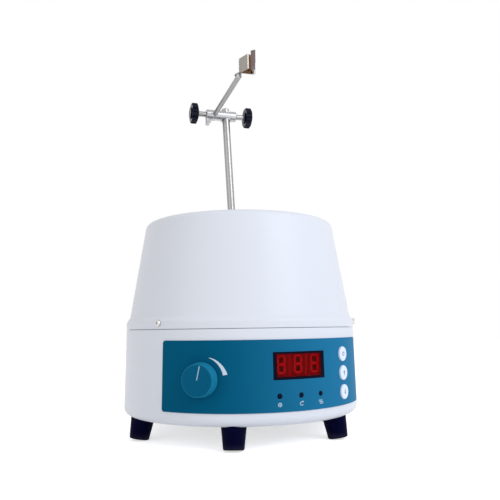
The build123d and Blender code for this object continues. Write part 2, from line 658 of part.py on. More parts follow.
def panel_overlay():
    """Printed front foil with its cut-outs."""
    foil = curved_plate(PANEL_LEFT, PANEL_RIGHT, PANEL_LOW, PANEL_HIGH, PANEL_THICKNESS, PANEL_CORNER)
    foil -= radial(WINDOW_ANGLE, BASE_RADIUS, WINDOW_HEIGHT) * Box(*WINDOW_SIZE, THROUGH)
    for angle in LAMP_ANGLES:
        foil = drilled(foil, radial(angle, BASE_RADIUS, LAMP_HEIGHT), LAMP_RADIUS + FIT_GAP)
    for height in BUTTON_HEIGHTS:
        foil = drilled(foil, radial(BUTTON_ANGLE, BASE_RADIUS, height), BUTTON_RADIUS + BUTTON_GAP)
    return drilled(foil, radial(KNOB_ANGLE, BASE_RADIUS, KNOB_HEIGHT), BUSH_RADIUS + FIT_GAP)


def display_window():
    """Tinted filter that fills the cut-out of the foil."""
    left, right = WINDOW_ANGLE - WINDOW_SPAN, WINDOW_ANGLE + WINDOW_SPAN
    sheet = curved_plate(left, right, PANEL_LOW, PANEL_HIGH, PANEL_THICKNESS, PANEL_CORNER)
    size = WINDOW_SIZE[0] - FIT_GAP, WINDOW_SIZE[1] - FIT_GAP
    return sheet & radial(WINDOW_ANGLE, BASE_RADIUS, WINDOW_HEIGHT) * Box(*size, THROUGH)


def led_display():
    """Three display modules side by side behind the window, with a thin seam between them."""
    neighbours = zip(DIGIT_ANGLES, DIGIT_ANGLES[1:])
    seams = [(digit_reach(left) + digit_reach(right)) / 2 for left, right in neighbours]
    block = Pos(DISPLAY_SHIFT, 0, 0) * Box(*DISPLAY_BLOCK, align=DOWNWARDS)
    block -= [Pos(seam, 0, 0) * Box(SEAM_WIDTH, FOREVER, 2 * SEAM_DEPTH) for seam in seams]
    return radial(WINDOW_ANGLE, DISPLAY_FACE, WINDOW_HEIGHT) * block


def digit_reach(angle):
    """Sideways place of a digit on the flat face of the display."""
    return DISPLAY_FACE * math.tan(math.radians(angle - WINDOW_ANGLE))


def segment(length):
    """One bar of a digit, pointed at both ends and lying along local X."""
    half, side = length / 2, SEGMENT_WIDTH / 2
    bar = Polygon(
        (-half, 0), (side - half, -side), (half - side, -side),
        (half, 0), (half - side, side), (side - half, side), align=None,
    )
    return extrude(bar, SEGMENT_HEIGHT)


def led_segments():
    """The seven bars of each digit, raised from the display's face."""
    tall = (DIGIT_HEIGHT - SEGMENT_WIDTH) / 2
    wide = DIGIT_WIDTH - SEGMENT_WIDTH
    across, upright = segment(wide - SEGMENT_GAP), Rot(0, 0, 90) * segment(tall - SEGMENT_GAP)
    digit = [Pos(0, row * tall, 0) * across for row in (-1, 0, 1)]
    digit += [Pos(x * wide / 2, y * tall / 2, 0) * upright for x in (-1, 1) for y in (-1, 1)]
    bars = []
    for angle in DIGIT_ANGLES:
        place = radial(WINDOW_ANGLE, DISPLAY_FACE, WINDOW_HEIGHT) * Pos(digit_reach(angle), DIGIT_RISE, 0)
        bars += [place * bar for bar in digit]
    return bars


def control_board():
    """Circuit board behind the display."""
    board = Pos(*CONTROL_BOARD_SHIFT, 0) * Box(*CONTROL_BOARD, align=DOWNWARDS)
    chip_place = Pos(CHIP_SHIFT[0], CHIP_SHIFT[1] + CONTROL_BOARD_SHIFT[1], -BOARD_THICKNESS)
    chip = chip_place * Box(*CHIP_SIZE, align=DOWNWARDS)
    return radial(WINDOW_ANGLE, DISPLAY_FACE - DISPLAY_BLOCK[2], WINDOW_HEIGHT) * (board + chip)


def lamp(angle):
    """Indicator lamp: a domed lens on a flange, from the inside of the wall."""
    lens = Cylinder(LAMP_RADIUS, LAMP_LENGTH, align=DOWNWARDS)
    lens = fillet(lens.edges().group_by(Axis.Z)[-1], LAMP_DOME)
    flange = Pos(0, 0, -LAMP_LENGTH) * Cylinder(LAMP_RADIUS + LAMP_FLANGE[0], LAMP_FLANGE[1], align=UPWARDS)
    face = base_radius_at(LAMP_HEIGHT) + PANEL_THICKNESS - FIT_GAP
    return radial(angle, face, LAMP_HEIGHT) * (lens + flange)


def button(height):
    """Push button: a round cap with a stem to its switch."""
    cap = Cylinder(BUTTON_RADIUS, BUTTON_LENGTH, align=DOWNWARDS)
    cap = fillet(cap.edges().group_by(Axis.Z)[-1], BUTTON_ROUND)
    stem = Pos(0, 0, -BUTTON_LENGTH) * Cylinder(*STEM_SIZE, align=DOWNWARDS)
    return button_plane(height) * (cap + stem)


def button_plane(height):
    return radial(BUTTON_ANGLE, base_radius_at(height) + PANEL_THICKNESS + BUTTON_PROUD, height)


def button_board():
    """Upright board with a square switch behind each button."""
    middle = BUTTON_HEIGHTS[1]
    back = base_radius_at(middle) + PANEL_THICKNESS + BUTTON_PROUD - BUTTON_BOARD_DEPTH
    board = radial(BUTTON_ANGLE, back, middle) * Box(*BUTTON_BOARD, align=DOWNWARDS)
    for height in BUTTON_HEIGHTS:
        board += radial(BUTTON_ANGLE, back, height) * Box(*TACT_SWITCH, align=UPWARDS)
    return board


def knob_plane(reach):
    return radial(KNOB_ANGLE, base_radius_at(KNOB_HEIGHT) + PANEL_THICKNESS + reach, KNOB_HEIGHT)


def control_knob():
    """Smooth tapered knob with a pointer groove, hollow at the back over the fixing nut."""
    body = Cone(KNOB_RADIUS, KNOB_FRONT_RADIUS, KNOB_DEPTH, align=UPWARDS)
    body = fillet(body.edges().group_by(Axis.Z)[-1], KNOB_EDGE)
    body -= Cylinder(KNOB_FRONT_RADIUS - KNOB_WALL, 2 * KNOB_HOLLOW)
    body += Pos(0, 0, HUB_START) * Cylinder(HUB_RADIUS, KNOB_HOLLOW - HUB_START + FIT_GAP, align=UPWARDS)
    body -= Cylinder(SHAFT_RADIUS, 2 * SHAFT_REACH)
    groove = (POINTER_WIDTH, KNOB_RADIUS, 2 * POINTER_DEPTH)
    pointer = Pos(0, 0, KNOB_DEPTH) * Box(*groove, align=(Align.CENTER, Align.MIN, Align.CENTER))
    body -= Rot(0, 0, -KNOB_POINTER_TURN) * pointer
    return knob_plane(KNOB_STANDOFF) * body


def pot_shaft():
    """Shaft of the potentiometer, held in the knob."""
    length = SHAFT_REACH + KNOB_STANDOFF + SHAFT_INSIDE
    return knob_plane(KNOB_STANDOFF + SHAFT_REACH) * Cylinder(SHAFT_RADIUS, length, align=DOWNWARDS)


def potentiometer():
    """Body and threaded bush of the potentiometer, bored for its shaft."""
    can = knob_plane(POT_FACE) * Cylinder(*POT_CAN, align=DOWNWARDS)
    bush = knob_plane(BUSH_END) * Cylinder(BUSH_RADIUS, BUSH_END - POT_FACE, align=DOWNWARDS)
    bore = knob_plane(BUSH_END) * Cylinder(SHAFT_RADIUS + RUNNING_GAP, POT_BORE_DEPTH, align=DOWNWARDS)
    return can + bush - bore


def pot_nut():
    nut = extrude(RegularPolygon(POT_NUT[0], 6), POT_NUT[1])
    return knob_plane(POT_NUT_REST) * (nut - Cylinder(BUSH_RADIUS + NUT_GAP, THROUGH))


def side_screws():
    """Three screws that hold the upper shell to the upstand of the base."""
    screw = pan_head_screw(SIDE_HEAD_RADIUS, SIDE_HEAD_HEIGHT, SIDE_SHANK_RADIUS, SIDE_SHANK_LENGTH)
    return [radial(angle, SKIRT_RADIUS, SIDE_SCREW_HEIGHT) * screw for angle in SIDE_SCREW_ANGLES]


# ---------------------------------------------------------------- rear panel
def rear_plane(x, height, reach=0.0):
    """Plane on the flat rear panel, looking backwards, with its local Y upwards."""
    return Plane(origin=(x, REAR_FLAT + reach, height), x_dir=(-1, 0, 0), z_dir=(0, 1, 0))


def mains_inlet():
    """Appliance inlet: flange, body, plug cavity with cut corners and a slot for the fuse drawer."""
    flange = extrude(RectangleRounded(*FLANGE_SIZE), FLANGE_THICKNESS)
    flange = fillet(flange.edges().group_by(Axis.Z)[-1], LIP_ROUND)
    body = Box(*INLET_BODY, INLET_DEPTH, align=DOWNWARDS)
    half, high = CAVITY_HALF
    mouth = Polygon(
        (-half, -high), (half, -high), (half, high - CAVITY_CUT),
        (half - CAVITY_CUT, high), (CAVITY_CUT - half, high), (-half, high - CAVITY_CUT), align=None,
    )
    inlet = flange + body - Pos(0, CAVITY_RISE, CAVITY_FLOOR) * extrude(mouth, THROUGH)
    inlet -= Pos(0, DRAWER_RISE, 0) * Box(*DRAWER_SLOT, 2 * DRAWER_SLOT_DEPTH)
    return rear_plane(INLET_X, INLET_HEIGHT) * inlet


def inlet_pins():
    """Three flat contact pins; the earth pin is longer and set higher."""
    section = RectangleRounded(*PIN_SECTION)
    live, earth = extrude(section, LIVE_LENGTH), extrude(section, EARTH_LENGTH)
    place = rear_plane(INLET_X, INLET_HEIGHT + CAVITY_RISE, CAVITY_FLOOR)
    pins = [place * Pos(x, -PIN_UPWARDS, 0) * live for x in (-PIN_SIDEWAYS, PIN_SIDEWAYS)]
    return pins + [place * Pos(0, PIN_UPWARDS, 0) * earth]


def fuse_drawer():
    """Drawer with a finger lip, that pulls out of the inlet with the fuse in it."""
    width, height = DRAWER_SLOT[0] - DRAWER_GAP, DRAWER_SLOT[1] - DRAWER_GAP
    tray = Pos(0, 0, DRAWER_FRONT) * Box(width, height, DRAWER_DEPTH + DRAWER_FRONT, align=DOWNWARDS)
    start, length = DRAWER_TRAY
    tray -= Pos(0, DRAWER_WALL, -start) * Box(width - 2 * DRAWER_WALL, height, length, align=DOWNWARDS)
    lip = Pos(0, height / 2 - DRAWER_WALL, DRAWER_FRONT) * Box(*DRAWER_LIP, align=UPWARDS)
    return rear_plane(INLET_X, INLET_HEIGHT + DRAWER_RISE) * (tray + lip)


def fuse():
    """Glass cartridge fuse, 5 by 20 mm, lying in the drawer."""
    cartridge = Rot(0, 90, 0) * Cylinder(FUSE_RADIUS, FUSE_LENGTH)
    return rear_plane(INLET_X, INLET_HEIGHT + DRAWER_RISE) * Pos(0, *FUSE_PLACE) * cartridge


def switch_frame():
    """Bezel and body of the rocker switch, open at the front for the rocker."""
    bezel = extrude(RectangleRounded(*BEZEL_SIZE), BEZEL_THICKNESS)
    bezel = fillet(bezel.edges().group_by(Axis.Z)[-1], BEZEL_ROUND)
    width, height, depth = SWITCH_WELL
    frame = bezel + Box(*SWITCH_BODY, SWITCH_DEPTH, align=DOWNWARDS) - Box(width, height, 2 * depth)
    hinge = Cylinder(PIVOT_RADIUS + RUNNING_GAP, PIVOT_LENGTH + BODY_GAP)
    pivot = Pos(0, 0, ROCKER_PIVOT) * Rot(0, 90, 0) * hinge
    return rear_plane(SWITCH_X, SWITCH_HEIGHT) * (frame - pivot)


def rocker():
    """Rocker with two sloping faces, at rest with its lower half pressed."""
    wing, tip = ROCKER_WING, ROCKER_CROWN + ROCKER_SLOPE
    keel, depth = ROCKER_KEEL
    side = Polygon(
        (-wing, tip), (0, ROCKER_CROWN), (wing, tip), (wing, 0),
        (keel, -depth), (-keel, -depth), (-wing, 0), align=None,
    )
    body = extrude(Plane.YZ * side, ROCKER_HALF_WIDTH, both=True)
    body += Rot(0, 90, 0) * Cylinder(PIVOT_RADIUS, PIVOT_LENGTH)
    return rear_plane(SWITCH_X, SWITCH_HEIGHT) * Pos(0, 0, ROCKER_PIVOT) * Rot(ROCKER_REST, 0, 0) * body


def sensor_jack():
    """Round jack socket for a temperature probe."""
    nut = extrude(RegularPolygon(JACK_NUT[0], 6), JACK_NUT[2]) & Cylinder(JACK_NUT[1], THROUGH)
    neck = Cylinder(JACK_NECK, JACK_DEPTH, align=DOWNWARDS)
    collar = Cylinder(*JACK_COLLAR, align=UPWARDS)
    can = Pos(0, 0, -WALL) * Cylinder(*JACK_CAN, align=DOWNWARDS)
    bore = Pos(0, 0, JACK_COLLAR[1]) * Cylinder(JACK_BORE, JACK_BORE_DEPTH, align=DOWNWARDS)
    return rear_plane(JACK_X, JACK_HEIGHT) * (nut + neck + collar + can - bore)


def power_board():
    """Circuit board for the mains side, on four pillars from the floor."""
    board = Pos(0, 0, PILLAR_HEIGHT) * Box(*POWER_BOARD, align=UPWARDS)
    pillars = [Pos(x, y, 0) * Cylinder(PILLAR_RADIUS, PILLAR_HEIGHT, align=UPWARDS) for x, y in PILLAR_SPOTS]
    return Pos(0, POWER_BOARD_Y, BASE_UNDERSIDE + WALL) * (board + pillars)


def on_power_board(x):
    return Pos(x, POWER_BOARD_Y, BASE_UNDERSIDE + WALL + PILLAR_HEIGHT + BOARD_THICKNESS)


def transformer():
    """Laminated core with its winding bobbin, on the power board."""
    core = Box(*CORE_SIZE, align=UPWARDS)
    bobbin = Pos(0, 0, (CORE_SIZE[2] - BOBBIN_SIZE[2]) / 2) * Box(*BOBBIN_SIZE, align=UPWARDS)
    return on_power_board(TRANSFORMER_X) * (core + bobbin)


def heat_sink():
    """Finned heat sink of the power triac."""
    fins = [Pos(0, y, 0) * Box(*FIN_SIZE, align=UPWARDS) for y in FIN_SPOTS]
    return on_power_board(SINK_X) * (Box(*SINK_BASE, align=UPWARDS) + fins)


# ---------------------------------------------------------------- support rod
def above_deck(part):
    return part - Pos(0, 0, DECK_HEIGHT) * Box(FOREVER, FOREVER, FOREVER, align=DOWNWARDS)


def below_deck(part):
    return part - Pos(0, 0, DECK_HEIGHT - WALL) * Box(FOREVER, FOREVER, FOREVER, align=UPWARDS)


def rod_socket():
    """Turned bush whose collar stands on the deck and whose neck goes through it."""
    collar = above_deck(ROD_FRAME * Cylinder(SOCKET_FOOT[0], 2 * SOCKET_FOOT[1]))
    collar += above_deck(ROD_FRAME * Cylinder(SOCKET_TOP[0], SOCKET_TOP[1], align=UPWARDS))
    neck = ROD_FRAME * Pos(0, 0, WALL) * Cylinder(SOCKET_NECK, ROD_BELOW_DECK + 2 * WALL, align=DOWNWARDS)
    bore = ROD_FRAME * Pos(0, 0, -ROD_BELOW_DECK) * Cylinder(ROD_RADIUS + RUNNING_GAP, FOREVER, align=UPWARDS)
    return collar + neck - bore


def socket_nut():
    nut = below_deck(ROD_FRAME * extrude(RegularPolygon(SOCKET_NUT[0], 6), -SOCKET_NUT[1]))
    return nut - ROD_FRAME * Cylinder(SOCKET_NECK + NUT_GAP, 2 * THROUGH)


def support_rod():
    rod = Pos(0, 0, SOCKET_GAP - ROD_BELOW_DECK) * Cylinder(ROD_RADIUS, ROD_LENGTH, align=UPWARDS)
    return ROD_FRAME * chamfer(rod.edges().group_by(Axis.Z)[-1], ROD_CHAMFER)


# ---------------------------------------------------------------- boss head, in its own level frame
def along_x(radius, left, right):
    """Cylinder along local X between two stations."""
    return Pos(left, 0, 0) * Rot(0, 90, 0) * Cylinder(radius, right - left, align=UPWARDS)


def arm_direction(radius, back, front):
    """Cylinder along the arm, which runs along local -Y beside the rod."""
    return Pos(-ARM_OFFSET, back, 0) * Rot(90, 0, 0) * Cylinder(radius, back + front, align=UPWARDS)


def boss_head():
    """Cast cross clamp: a barrel, an eye behind it for the rod, one for the arm and a finger."""
    barrel = along_x(BOSS_RADIUS, BOSS_LEFT, BOSS_RIGHT)
    barrel = fillet(barrel.edges().filter_by(GeomType.CIRCLE), BOSS_ROUND)
    rod_eye = Pos(*ROD_EYE_SHIFT, 0) * Cylinder(ROD_EYE_RADIUS, ROD_EYE_HEIGHT)
    rod_eye = fillet(rod_eye.edges().filter_by(GeomType.CIRCLE), BOSS_ROUND)
    arm_eye = arm_direction(ARM_EYE_RADIUS, ARM_EYE_BACK, 0)
    arm_eye = fillet(arm_eye.edges().group_by(Axis.Y)[-1], BOSS_ROUND)
    hook = FilletPolyline(*FINGER_CORNERS, radius=FINGER_ROUND, close=True)
    finger = extrude(Plane.XZ * make_face(hook), FINGER_HALF_WIDTH, both=True)
    finger = fillet(finger.edges().filter_by(GeomType.LINE), FINGER_EDGE)
    body = barrel + rod_eye + arm_eye + finger
    body -= Cylinder(ROD_BORE, THROUGH)
    body -= arm_direction(ARM_RADIUS + RUNNING_GAP, THROUGH, THROUGH)
    body -= along_x(SCREW_RADIUS + RUNNING_GAP, BOSS_LEFT - THROUGH, -ARM_OFFSET)
    body -= along_x(SCREW_RADIUS + RUNNING_GAP, 0, BOSS_RIGHT + THROUGH)
    return BOSS_FRAME * body


def star_knob():
    """Lobed hand knob about local X, centred on its own width."""
    half = STAR_WIDTH / 2
    disc = along_x(STAR_RADIUS, -half, half)
    disc = fillet(disc.edges().filter_by(GeomType.CIRCLE), STAR_ROUND)
    scoop = Pos(0, 0, SCOOP_REACH) * Rot(0, 90, 0) * Cylinder(SCOOP_RADIUS, THROUGH)
    step = 360.0 / STAR_LOBES
    disc -= [Rot(step * index, 0, 0) * scoop for index in range(STAR_LOBES)]
    radius, proud = STAR_HUB
    return disc + along_x(radius, -half - proud, half + proud)


def arm_clamp_stud():
    tip = -ARM_OFFSET - ARM_RADIUS - ARM_STUD_GAP
    return BOSS_FRAME * along_x(SCREW_RADIUS, STAR_LEFT + STAR_WIDTH / 2 - STUD_GRIP, tip)


def rod_clamp_stud():
    tip = ROD_RADIUS + ROD_STUD_GAP
    return BOSS_FRAME * along_x(SCREW_RADIUS, tip, STAR_RIGHT - STAR_WIDTH / 2 + STUD_GRIP)


def clamp_knob(station, stud):
    return BOSS_FRAME * Pos(station, 0, 0) * star_knob() - stud


def clamp_arm():
    """Round arm, with a flat and a tapped hole near its front end for the clip's screw."""
    arm = arm_direction(ARM_RADIUS, ARM_BACK, ARM_FRONT + CLIP_BACK - JAW_CLEARANCE)
    arm = BOSS_FRAME * chamfer(arm.edges().filter_by(GeomType.CIRCLE), ARM_CHAMFER)
    seat = (4 * ARM_RADIUS, 2 * TONGUE_BEHIND + 2, ARM_RADIUS)
    arm -= CLIP_FRAME * Pos(0, 0, JAW_LOW - JAW_CLEARANCE) * Box(*seat, align=UPWARDS)
    return arm - at_screw(CLIP_SCREW_RADIUS + RUNNING_GAP, CLIP_SCREW_END - FIT_GAP, JAW_HIGH)


# ---------------------------------------------------------------- probe clip, in the arm's frame
CLIP_LEFT, CLIP_RIGHT = CLIP_CENTRE - CLIP_HALF_WIDTH, CLIP_CENTRE + CLIP_HALF_WIDTH
PIN_AHEAD, PIN_SIDE = CLIP_BACK + 1.9, CLIP_RIGHT - 0.9
TONGUE_RIGHT = 2.6


def clip_sheet(points, low, high):
    """Upright sheet or pad from a plan outline of (ahead, sideways) points."""
    corners = [(side, -ahead) for ahead, side in points]
    return Pos(0, 0, low) * extrude(make_face(Polyline(*corners, close=True)), high - low)


def at_screw(radius, low, high):
    """Upright cylinder on the axis of the clip's screw."""
    return CLIP_FRAME * Pos(0, CLIP_SCREW_BEHIND, low) * Cylinder(radius, high - low, align=UPWARDS)


def at_pin(radius, low, high):
    return Pos(PIN_SIDE, -PIN_AHEAD, low) * Cylinder(radius, high - low, align=UPWARDS)


def fixed_jaw():
    """Bent sheet: back plate, tongue over the arm's end, left jaw and the two outer knuckles."""
    inside = CLIP_BACK + JAW_SHEET
    back = [(CLIP_BACK, CLIP_LEFT), (CLIP_BACK, PIN_SIDE), (inside, PIN_SIDE), (inside, CLIP_LEFT)]
    slant = [
        (CLIP_BACK, CLIP_LEFT), (inside, CLIP_LEFT + 1.6 * JAW_SHEET),
        (CLIP_TIP - 0.6, CLIP_CENTRE - JAW_GAP), (CLIP_TIP - 0.2, CLIP_CENTRE - JAW_GAP - 1.3),
    ]
    jaw = clip_sheet(back, JAW_LOW, JAW_HIGH) + clip_sheet(slant, JAW_LOW, JAW_HIGH)
    middle = (JAW_LOW + KNUCKLE_HEIGHT, JAW_HIGH - KNUCKLE_HEIGHT)
    jaw -= at_pin(KNUCKLE_RADIUS + JAW_CLEARANCE, *middle)
    jaw += at_pin(KNUCKLE_RADIUS, JAW_LOW, middle[0])
    jaw += at_pin(KNUCKLE_RADIUS, middle[1], JAW_HIGH)
    behind = -TONGUE_BEHIND
    tongue = [(behind, CLIP_LEFT), (inside, CLIP_LEFT), (inside, TONGUE_RIGHT), (behind, TONGUE_RIGHT)]
    jaw += clip_sheet(tongue, JAW_LOW, JAW_LOW + JAW_SHEET)
    jaw += Pos(0, CLIP_SCREW_BEHIND, JAW_LOW) * Cylinder(CLIP_SCREW_HEAD + 1.0, JAW_SHEET, align=UPWARDS)
    jaw = CLIP_FRAME * (jaw - at_pin(JAW_PIN_RADIUS, JAW_LOW - 1, JAW_HIGH + 1))
    return jaw - at_screw(CLIP_SCREW_RADIUS + RUNNING_GAP, JAW_LOW - 1, JAW_LOW + 2 * JAW_SHEET)


def moving_jaw():
    """Right jaw with the middle knuckle and a turned-out finger tab at its tip."""
    low, high = JAW_LOW + KNUCKLE_HEIGHT + JAW_CLEARANCE, JAW_HIGH - KNUCKLE_HEIGHT - JAW_CLEARANCE
    tip = CLIP_CENTRE + JAW_GAP
    plate = [
        (6.4, CLIP_RIGHT - 1.0), (CLIP_TIP, tip + 0.6), (CLIP_TIP - 0.6, tip - 0.2), (6.0, CLIP_RIGHT - 2.2),
    ]
    root = [
        (PIN_AHEAD, PIN_SIDE + KNUCKLE_RADIUS), (6.8, CLIP_RIGHT - 1.2),
        (6.0, CLIP_RIGHT - 2.2), (PIN_AHEAD, PIN_SIDE + KNUCKLE_RADIUS - JAW_SHEET),
    ]
    tab = [
        (CLIP_TIP - 0.6, tip - 0.2), (CLIP_TIP + 2.4, tip + 3.0),
        (CLIP_TIP + 1.7, tip + 3.6), (CLIP_TIP - 0.9, tip + 0.9),
    ]
    jaw = clip_sheet(plate, JAW_LOW, JAW_HIGH) + clip_sheet(root, low, high)
    corner = Polygon((tip + 0.9, JAW_LOW), (tip + 3.7, JAW_LOW + 5.6), (tip + 9, JAW_LOW), align=None)
    jaw += clip_sheet(tab, JAW_LOW + 1.0, JAW_TAB_HIGH) - extrude(Plane.XZ * corner, FOREVER, both=True)
    jaw += at_pin(KNUCKLE_RADIUS, low, high)
    return CLIP_FRAME * (jaw - at_pin(JAW_PIN_RADIUS + RUNNING_GAP, JAW_LOW, JAW_HIGH))


def clip_pad(side):
    """Cork wedge inside one jaw, with half of the groove that grips the probe."""
    near, tip = CLIP_BACK + JAW_SHEET + JAW_CLEARANCE, CLIP_TIP - 0.7
    middle = CLIP_CENTRE + side * PAD_GAP
    wide = CLIP_CENTRE + side * PAD_WIDTH
    pad = clip_sheet(
        [(near, wide), (tip, CLIP_CENTRE + side * (JAW_GAP - JAW_CLEARANCE)), (tip, middle), (near, middle)],
        JAW_LOW, JAW_HIGH - JAW_CLEARANCE,
    )
    groove = Pos(CLIP_CENTRE, GROOVE_BEHIND - tip, JAW_LOW) * Cylinder(GROOVE_RADIUS, FOREVER)
    return CLIP_FRAME * (pad - groove)


def clip_pin():
    """Pin of the moving jaw, with a flat head at each end."""
    low, high = JAW_LOW - PIN_HEAD_HEIGHT, JAW_HIGH + SPRING_ROOM
    pin = at_pin(JAW_PIN_RADIUS, low, high + PIN_HEAD_HEIGHT)
    pin += at_pin(PIN_HEAD_RADIUS, low, JAW_LOW) + at_pin(PIN_HEAD_RADIUS, high, high + PIN_HEAD_HEIGHT)
    return CLIP_FRAME * pin


def clip_spring():
    """Coil spring round the top of the pin."""
    path = Helix(pitch=SPRING_PITCH, height=3 * SPRING_PITCH, radius=KNUCKLE_RADIUS - WIRE_RADIUS)
    section = Plane(origin=path @ 0, z_dir=path % 0) * Circle(WIRE_RADIUS)
    coil = Pos(PIN_SIDE, -PIN_AHEAD, JAW_HIGH + 1.2 * WIRE_RADIUS) * sweep(section, path=path)
    return CLIP_FRAME * coil


def clip_screw():
    """Screw that holds the tongue of the clip to the arm and lets it swing."""
    under_head = JAW_LOW + JAW_SHEET + JAW_CLEARANCE
    screw = pan_head_screw(CLIP_SCREW_HEAD, CLIP_HEAD_HEIGHT, CLIP_SCREW_RADIUS, under_head - CLIP_SCREW_END)
    return CLIP_FRAME * Pos(0, CLIP_SCREW_BEHIND, under_head) * screw


# ---------------------------------------------------------------- build and write
def all_parts():
    """Every node's name with its shape, or its list of like shapes."""
    parts = {
        "base_shell": base_shell(),
        "upper_shell": upper_shell(),
        "side_screws": side_screws(),
        "heating_bowl": heating_bowl(),
        "insulation": insulation(),
        "heat_shield": heat_shield(),
        "thermal_cutout": thermal_cutout(),
        "stirrer_motor": stirrer_motor(),
        "motor_bracket": motor_bracket(),
        "motor_screws": motor_screws(),
        "motor_shaft": motor_shaft(),
        "magnet_holder": magnet_holder(),
        "stirrer_magnets": stirrer_magnets(),
        "foot_screws": foot_screws(),
        "panel_overlay": panel_overlay(),
        "display_window": display_window(),
        "led_display": led_display(),
        "led_segments": led_segments(),
        "indicator_lamps": [lamp(angle) for angle in LAMP_ANGLES],
        "control_board": control_board(),
        "button_board": button_board(),
        "control_knob": control_knob(),
        "pot_shaft": pot_shaft(),
        "potentiometer": potentiometer(),
        "pot_nut": pot_nut(),
        "power_board": power_board(),
        "transformer": transformer(),
        "heat_sink": heat_sink(),
        "mains_inlet": mains_inlet(),
        "inlet_pins": inlet_pins(),
        "fuse_drawer": fuse_drawer(),
        "fuse": fuse(),
        "switch_frame": switch_frame(),
        "rocker": rocker(),
        "sensor_jack": sensor_jack(),
        "rod_socket": rod_socket(),
        "socket_nut": socket_nut(),
        "support_rod": support_rod(),
        "boss_head": boss_head(),
        "arm_clamp_stud": arm_clamp_stud(),
        "arm_clamp_knob": clamp_knob(STAR_LEFT, arm_clamp_stud()),
        "rod_clamp_stud": rod_clamp_stud(),
        "rod_clamp_knob": clamp_knob(STAR_RIGHT, rod_clamp_stud()),
        "clamp_arm": clamp_arm(),
        "fixed_jaw": fixed_jaw(),
        "fixed_pad": clip_pad(-1),
        "moving_jaw": moving_jaw(),
        "moving_pad": clip_pad(1),
        "clip_pin": clip_pin(),
        "clip_spring": clip_spring(),
        "clip_screw": clip_screw(),
    }
    for number, angle in enumerate(FOOT_ANGLES, start=1):
        parts[f"foot_{number}"] = foot(angle)
    for name, height in zip(BUTTON_NAMES, BUTTON_HEIGHTS):
        parts[name] = button(height)
    return parts


def write(name, shape):
    solids = shape if isinstance(shape, list) else [shape]
    export_step(Compound(children=[Compound(part.solids()) for part in solids]), f"parts/{name}.step")


os.makedirs("parts", exist_ok=True)
for name, shape in all_parts().items():
    write(name, shape)
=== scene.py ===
import math

import bmesh
import bpy
from bpy.props import FloatProperty, FloatVectorProperty, IntProperty, PointerProperty
from bpy.types import Operator, Panel, PropertyGroup
from mathutils import Matrix, Vector


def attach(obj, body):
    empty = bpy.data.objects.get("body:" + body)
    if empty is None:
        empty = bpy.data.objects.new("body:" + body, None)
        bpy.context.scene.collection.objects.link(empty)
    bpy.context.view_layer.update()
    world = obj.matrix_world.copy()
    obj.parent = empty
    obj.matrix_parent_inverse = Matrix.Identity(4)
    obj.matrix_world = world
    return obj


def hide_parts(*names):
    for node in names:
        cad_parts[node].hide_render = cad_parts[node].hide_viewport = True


bl_info = {
    "name": "Heating Mantle",
    "version": (1, 0, 0),
    "blender": (4, 5, 0),
    "location": "View3D > Sidebar > Mantle",
    "description": "Dresses a laboratory heating mantle: shells, control panel, bowl, rod and probe clip",
    "category": "Add Mesh",
}

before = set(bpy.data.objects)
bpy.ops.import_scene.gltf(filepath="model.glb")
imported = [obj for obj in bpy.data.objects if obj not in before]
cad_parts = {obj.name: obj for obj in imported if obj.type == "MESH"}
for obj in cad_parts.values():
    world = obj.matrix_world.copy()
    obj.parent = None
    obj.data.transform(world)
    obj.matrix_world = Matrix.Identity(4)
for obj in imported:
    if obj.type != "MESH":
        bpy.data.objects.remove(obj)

# Metres. The origin is on the table, on the axis of the bowl. +Z is up and the control panel
# faces -Y. An angle round the body counts from the front (-Y), positive towards +X.
MM = 0.001

BASE_RADIUS = 104.3 * MM  # base shell, near its foot
BASE_TOP_RADIUS = 103.0 * MM
BASE_UNDERSIDE = 18.1 * MM
SPLIT_HEIGHT = 90.6 * MM
FOIL_THICKNESS = 0.6 * MM

KNOB_ANGLE, KNOB_HEIGHT = -16.4, 53.1 * MM
KNOB_FRONT = 10.3 * MM  # front face of the knob, over the foil
POINTER_WIDTH, POINTER_REACH, POINTER_DEPTH = 0.9 * MM, 10.8 * MM, 0.4 * MM
LAMP_ANGLES, LAMP_HEIGHT = (16.1, 26.0, 36.2), 40.1 * MM
KEY_ANGLE, KEY_HEIGHTS = 52.9, (69.0 * MM, 53.9 * MM, 38.8 * MM)
KEY_PROUD = 1.3 * MM
WINDOW_ANGLE, WINDOW_HEIGHT = 26.2, 62.3 * MM
DIGIT_PITCH, DIGIT_MIDDLE, DIGIT_RISE = 14.9 * MM, 0.4 * MM, 0.8 * MM
COUNTER_RISE = 3.2 * MM  # from the middle of a digit to the middle of its two holes

BOWL_RADIUS = 54.0 * MM
BOWL_CENTRE = 184.0 * MM
DECK_HEIGHT = 186.0 * MM
DECK_HOLE = 57.6 * MM
RIM_WIDTH, RIM_HEIGHT = 4.0 * MM, 2.4 * MM
BOWL_WALL = 3.0 * MM
HEATER_FROM, HEATER_TO = 16.0, 84.0  # degrees up from the bottom of the bowl
CORD_RADIUS, STITCH_RADIUS, STITCH_PITCH = 1.2 * MM, 0.32 * MM, 8.0 * MM
INSIDE_STEPS, RIM_STEPS, OUTSIDE_STEPS, BOWL_STEPS = 36, 16, 24, 144  # up, over, down and round
WARP_RATE, WEFT_RATE = 180.0, 150.0  # speed of the weave's waves, round the bowl and up its side

ARC_START, ARC_END = 69.3, 10.5  # degrees from sideways, where the dial's wedge is thin and thick
ARC_RADIUS, ARC_THIN, ARC_THICK = 16.9 * MM, 0.4 * MM, 3.4 * MM
SIGN_DROP = 6.2 * MM  # from a lamp down to its sign
SIGN_RING = (1.1 * MM, 1.5 * MM)
PRINT_DEPTH = 0.03 * MM

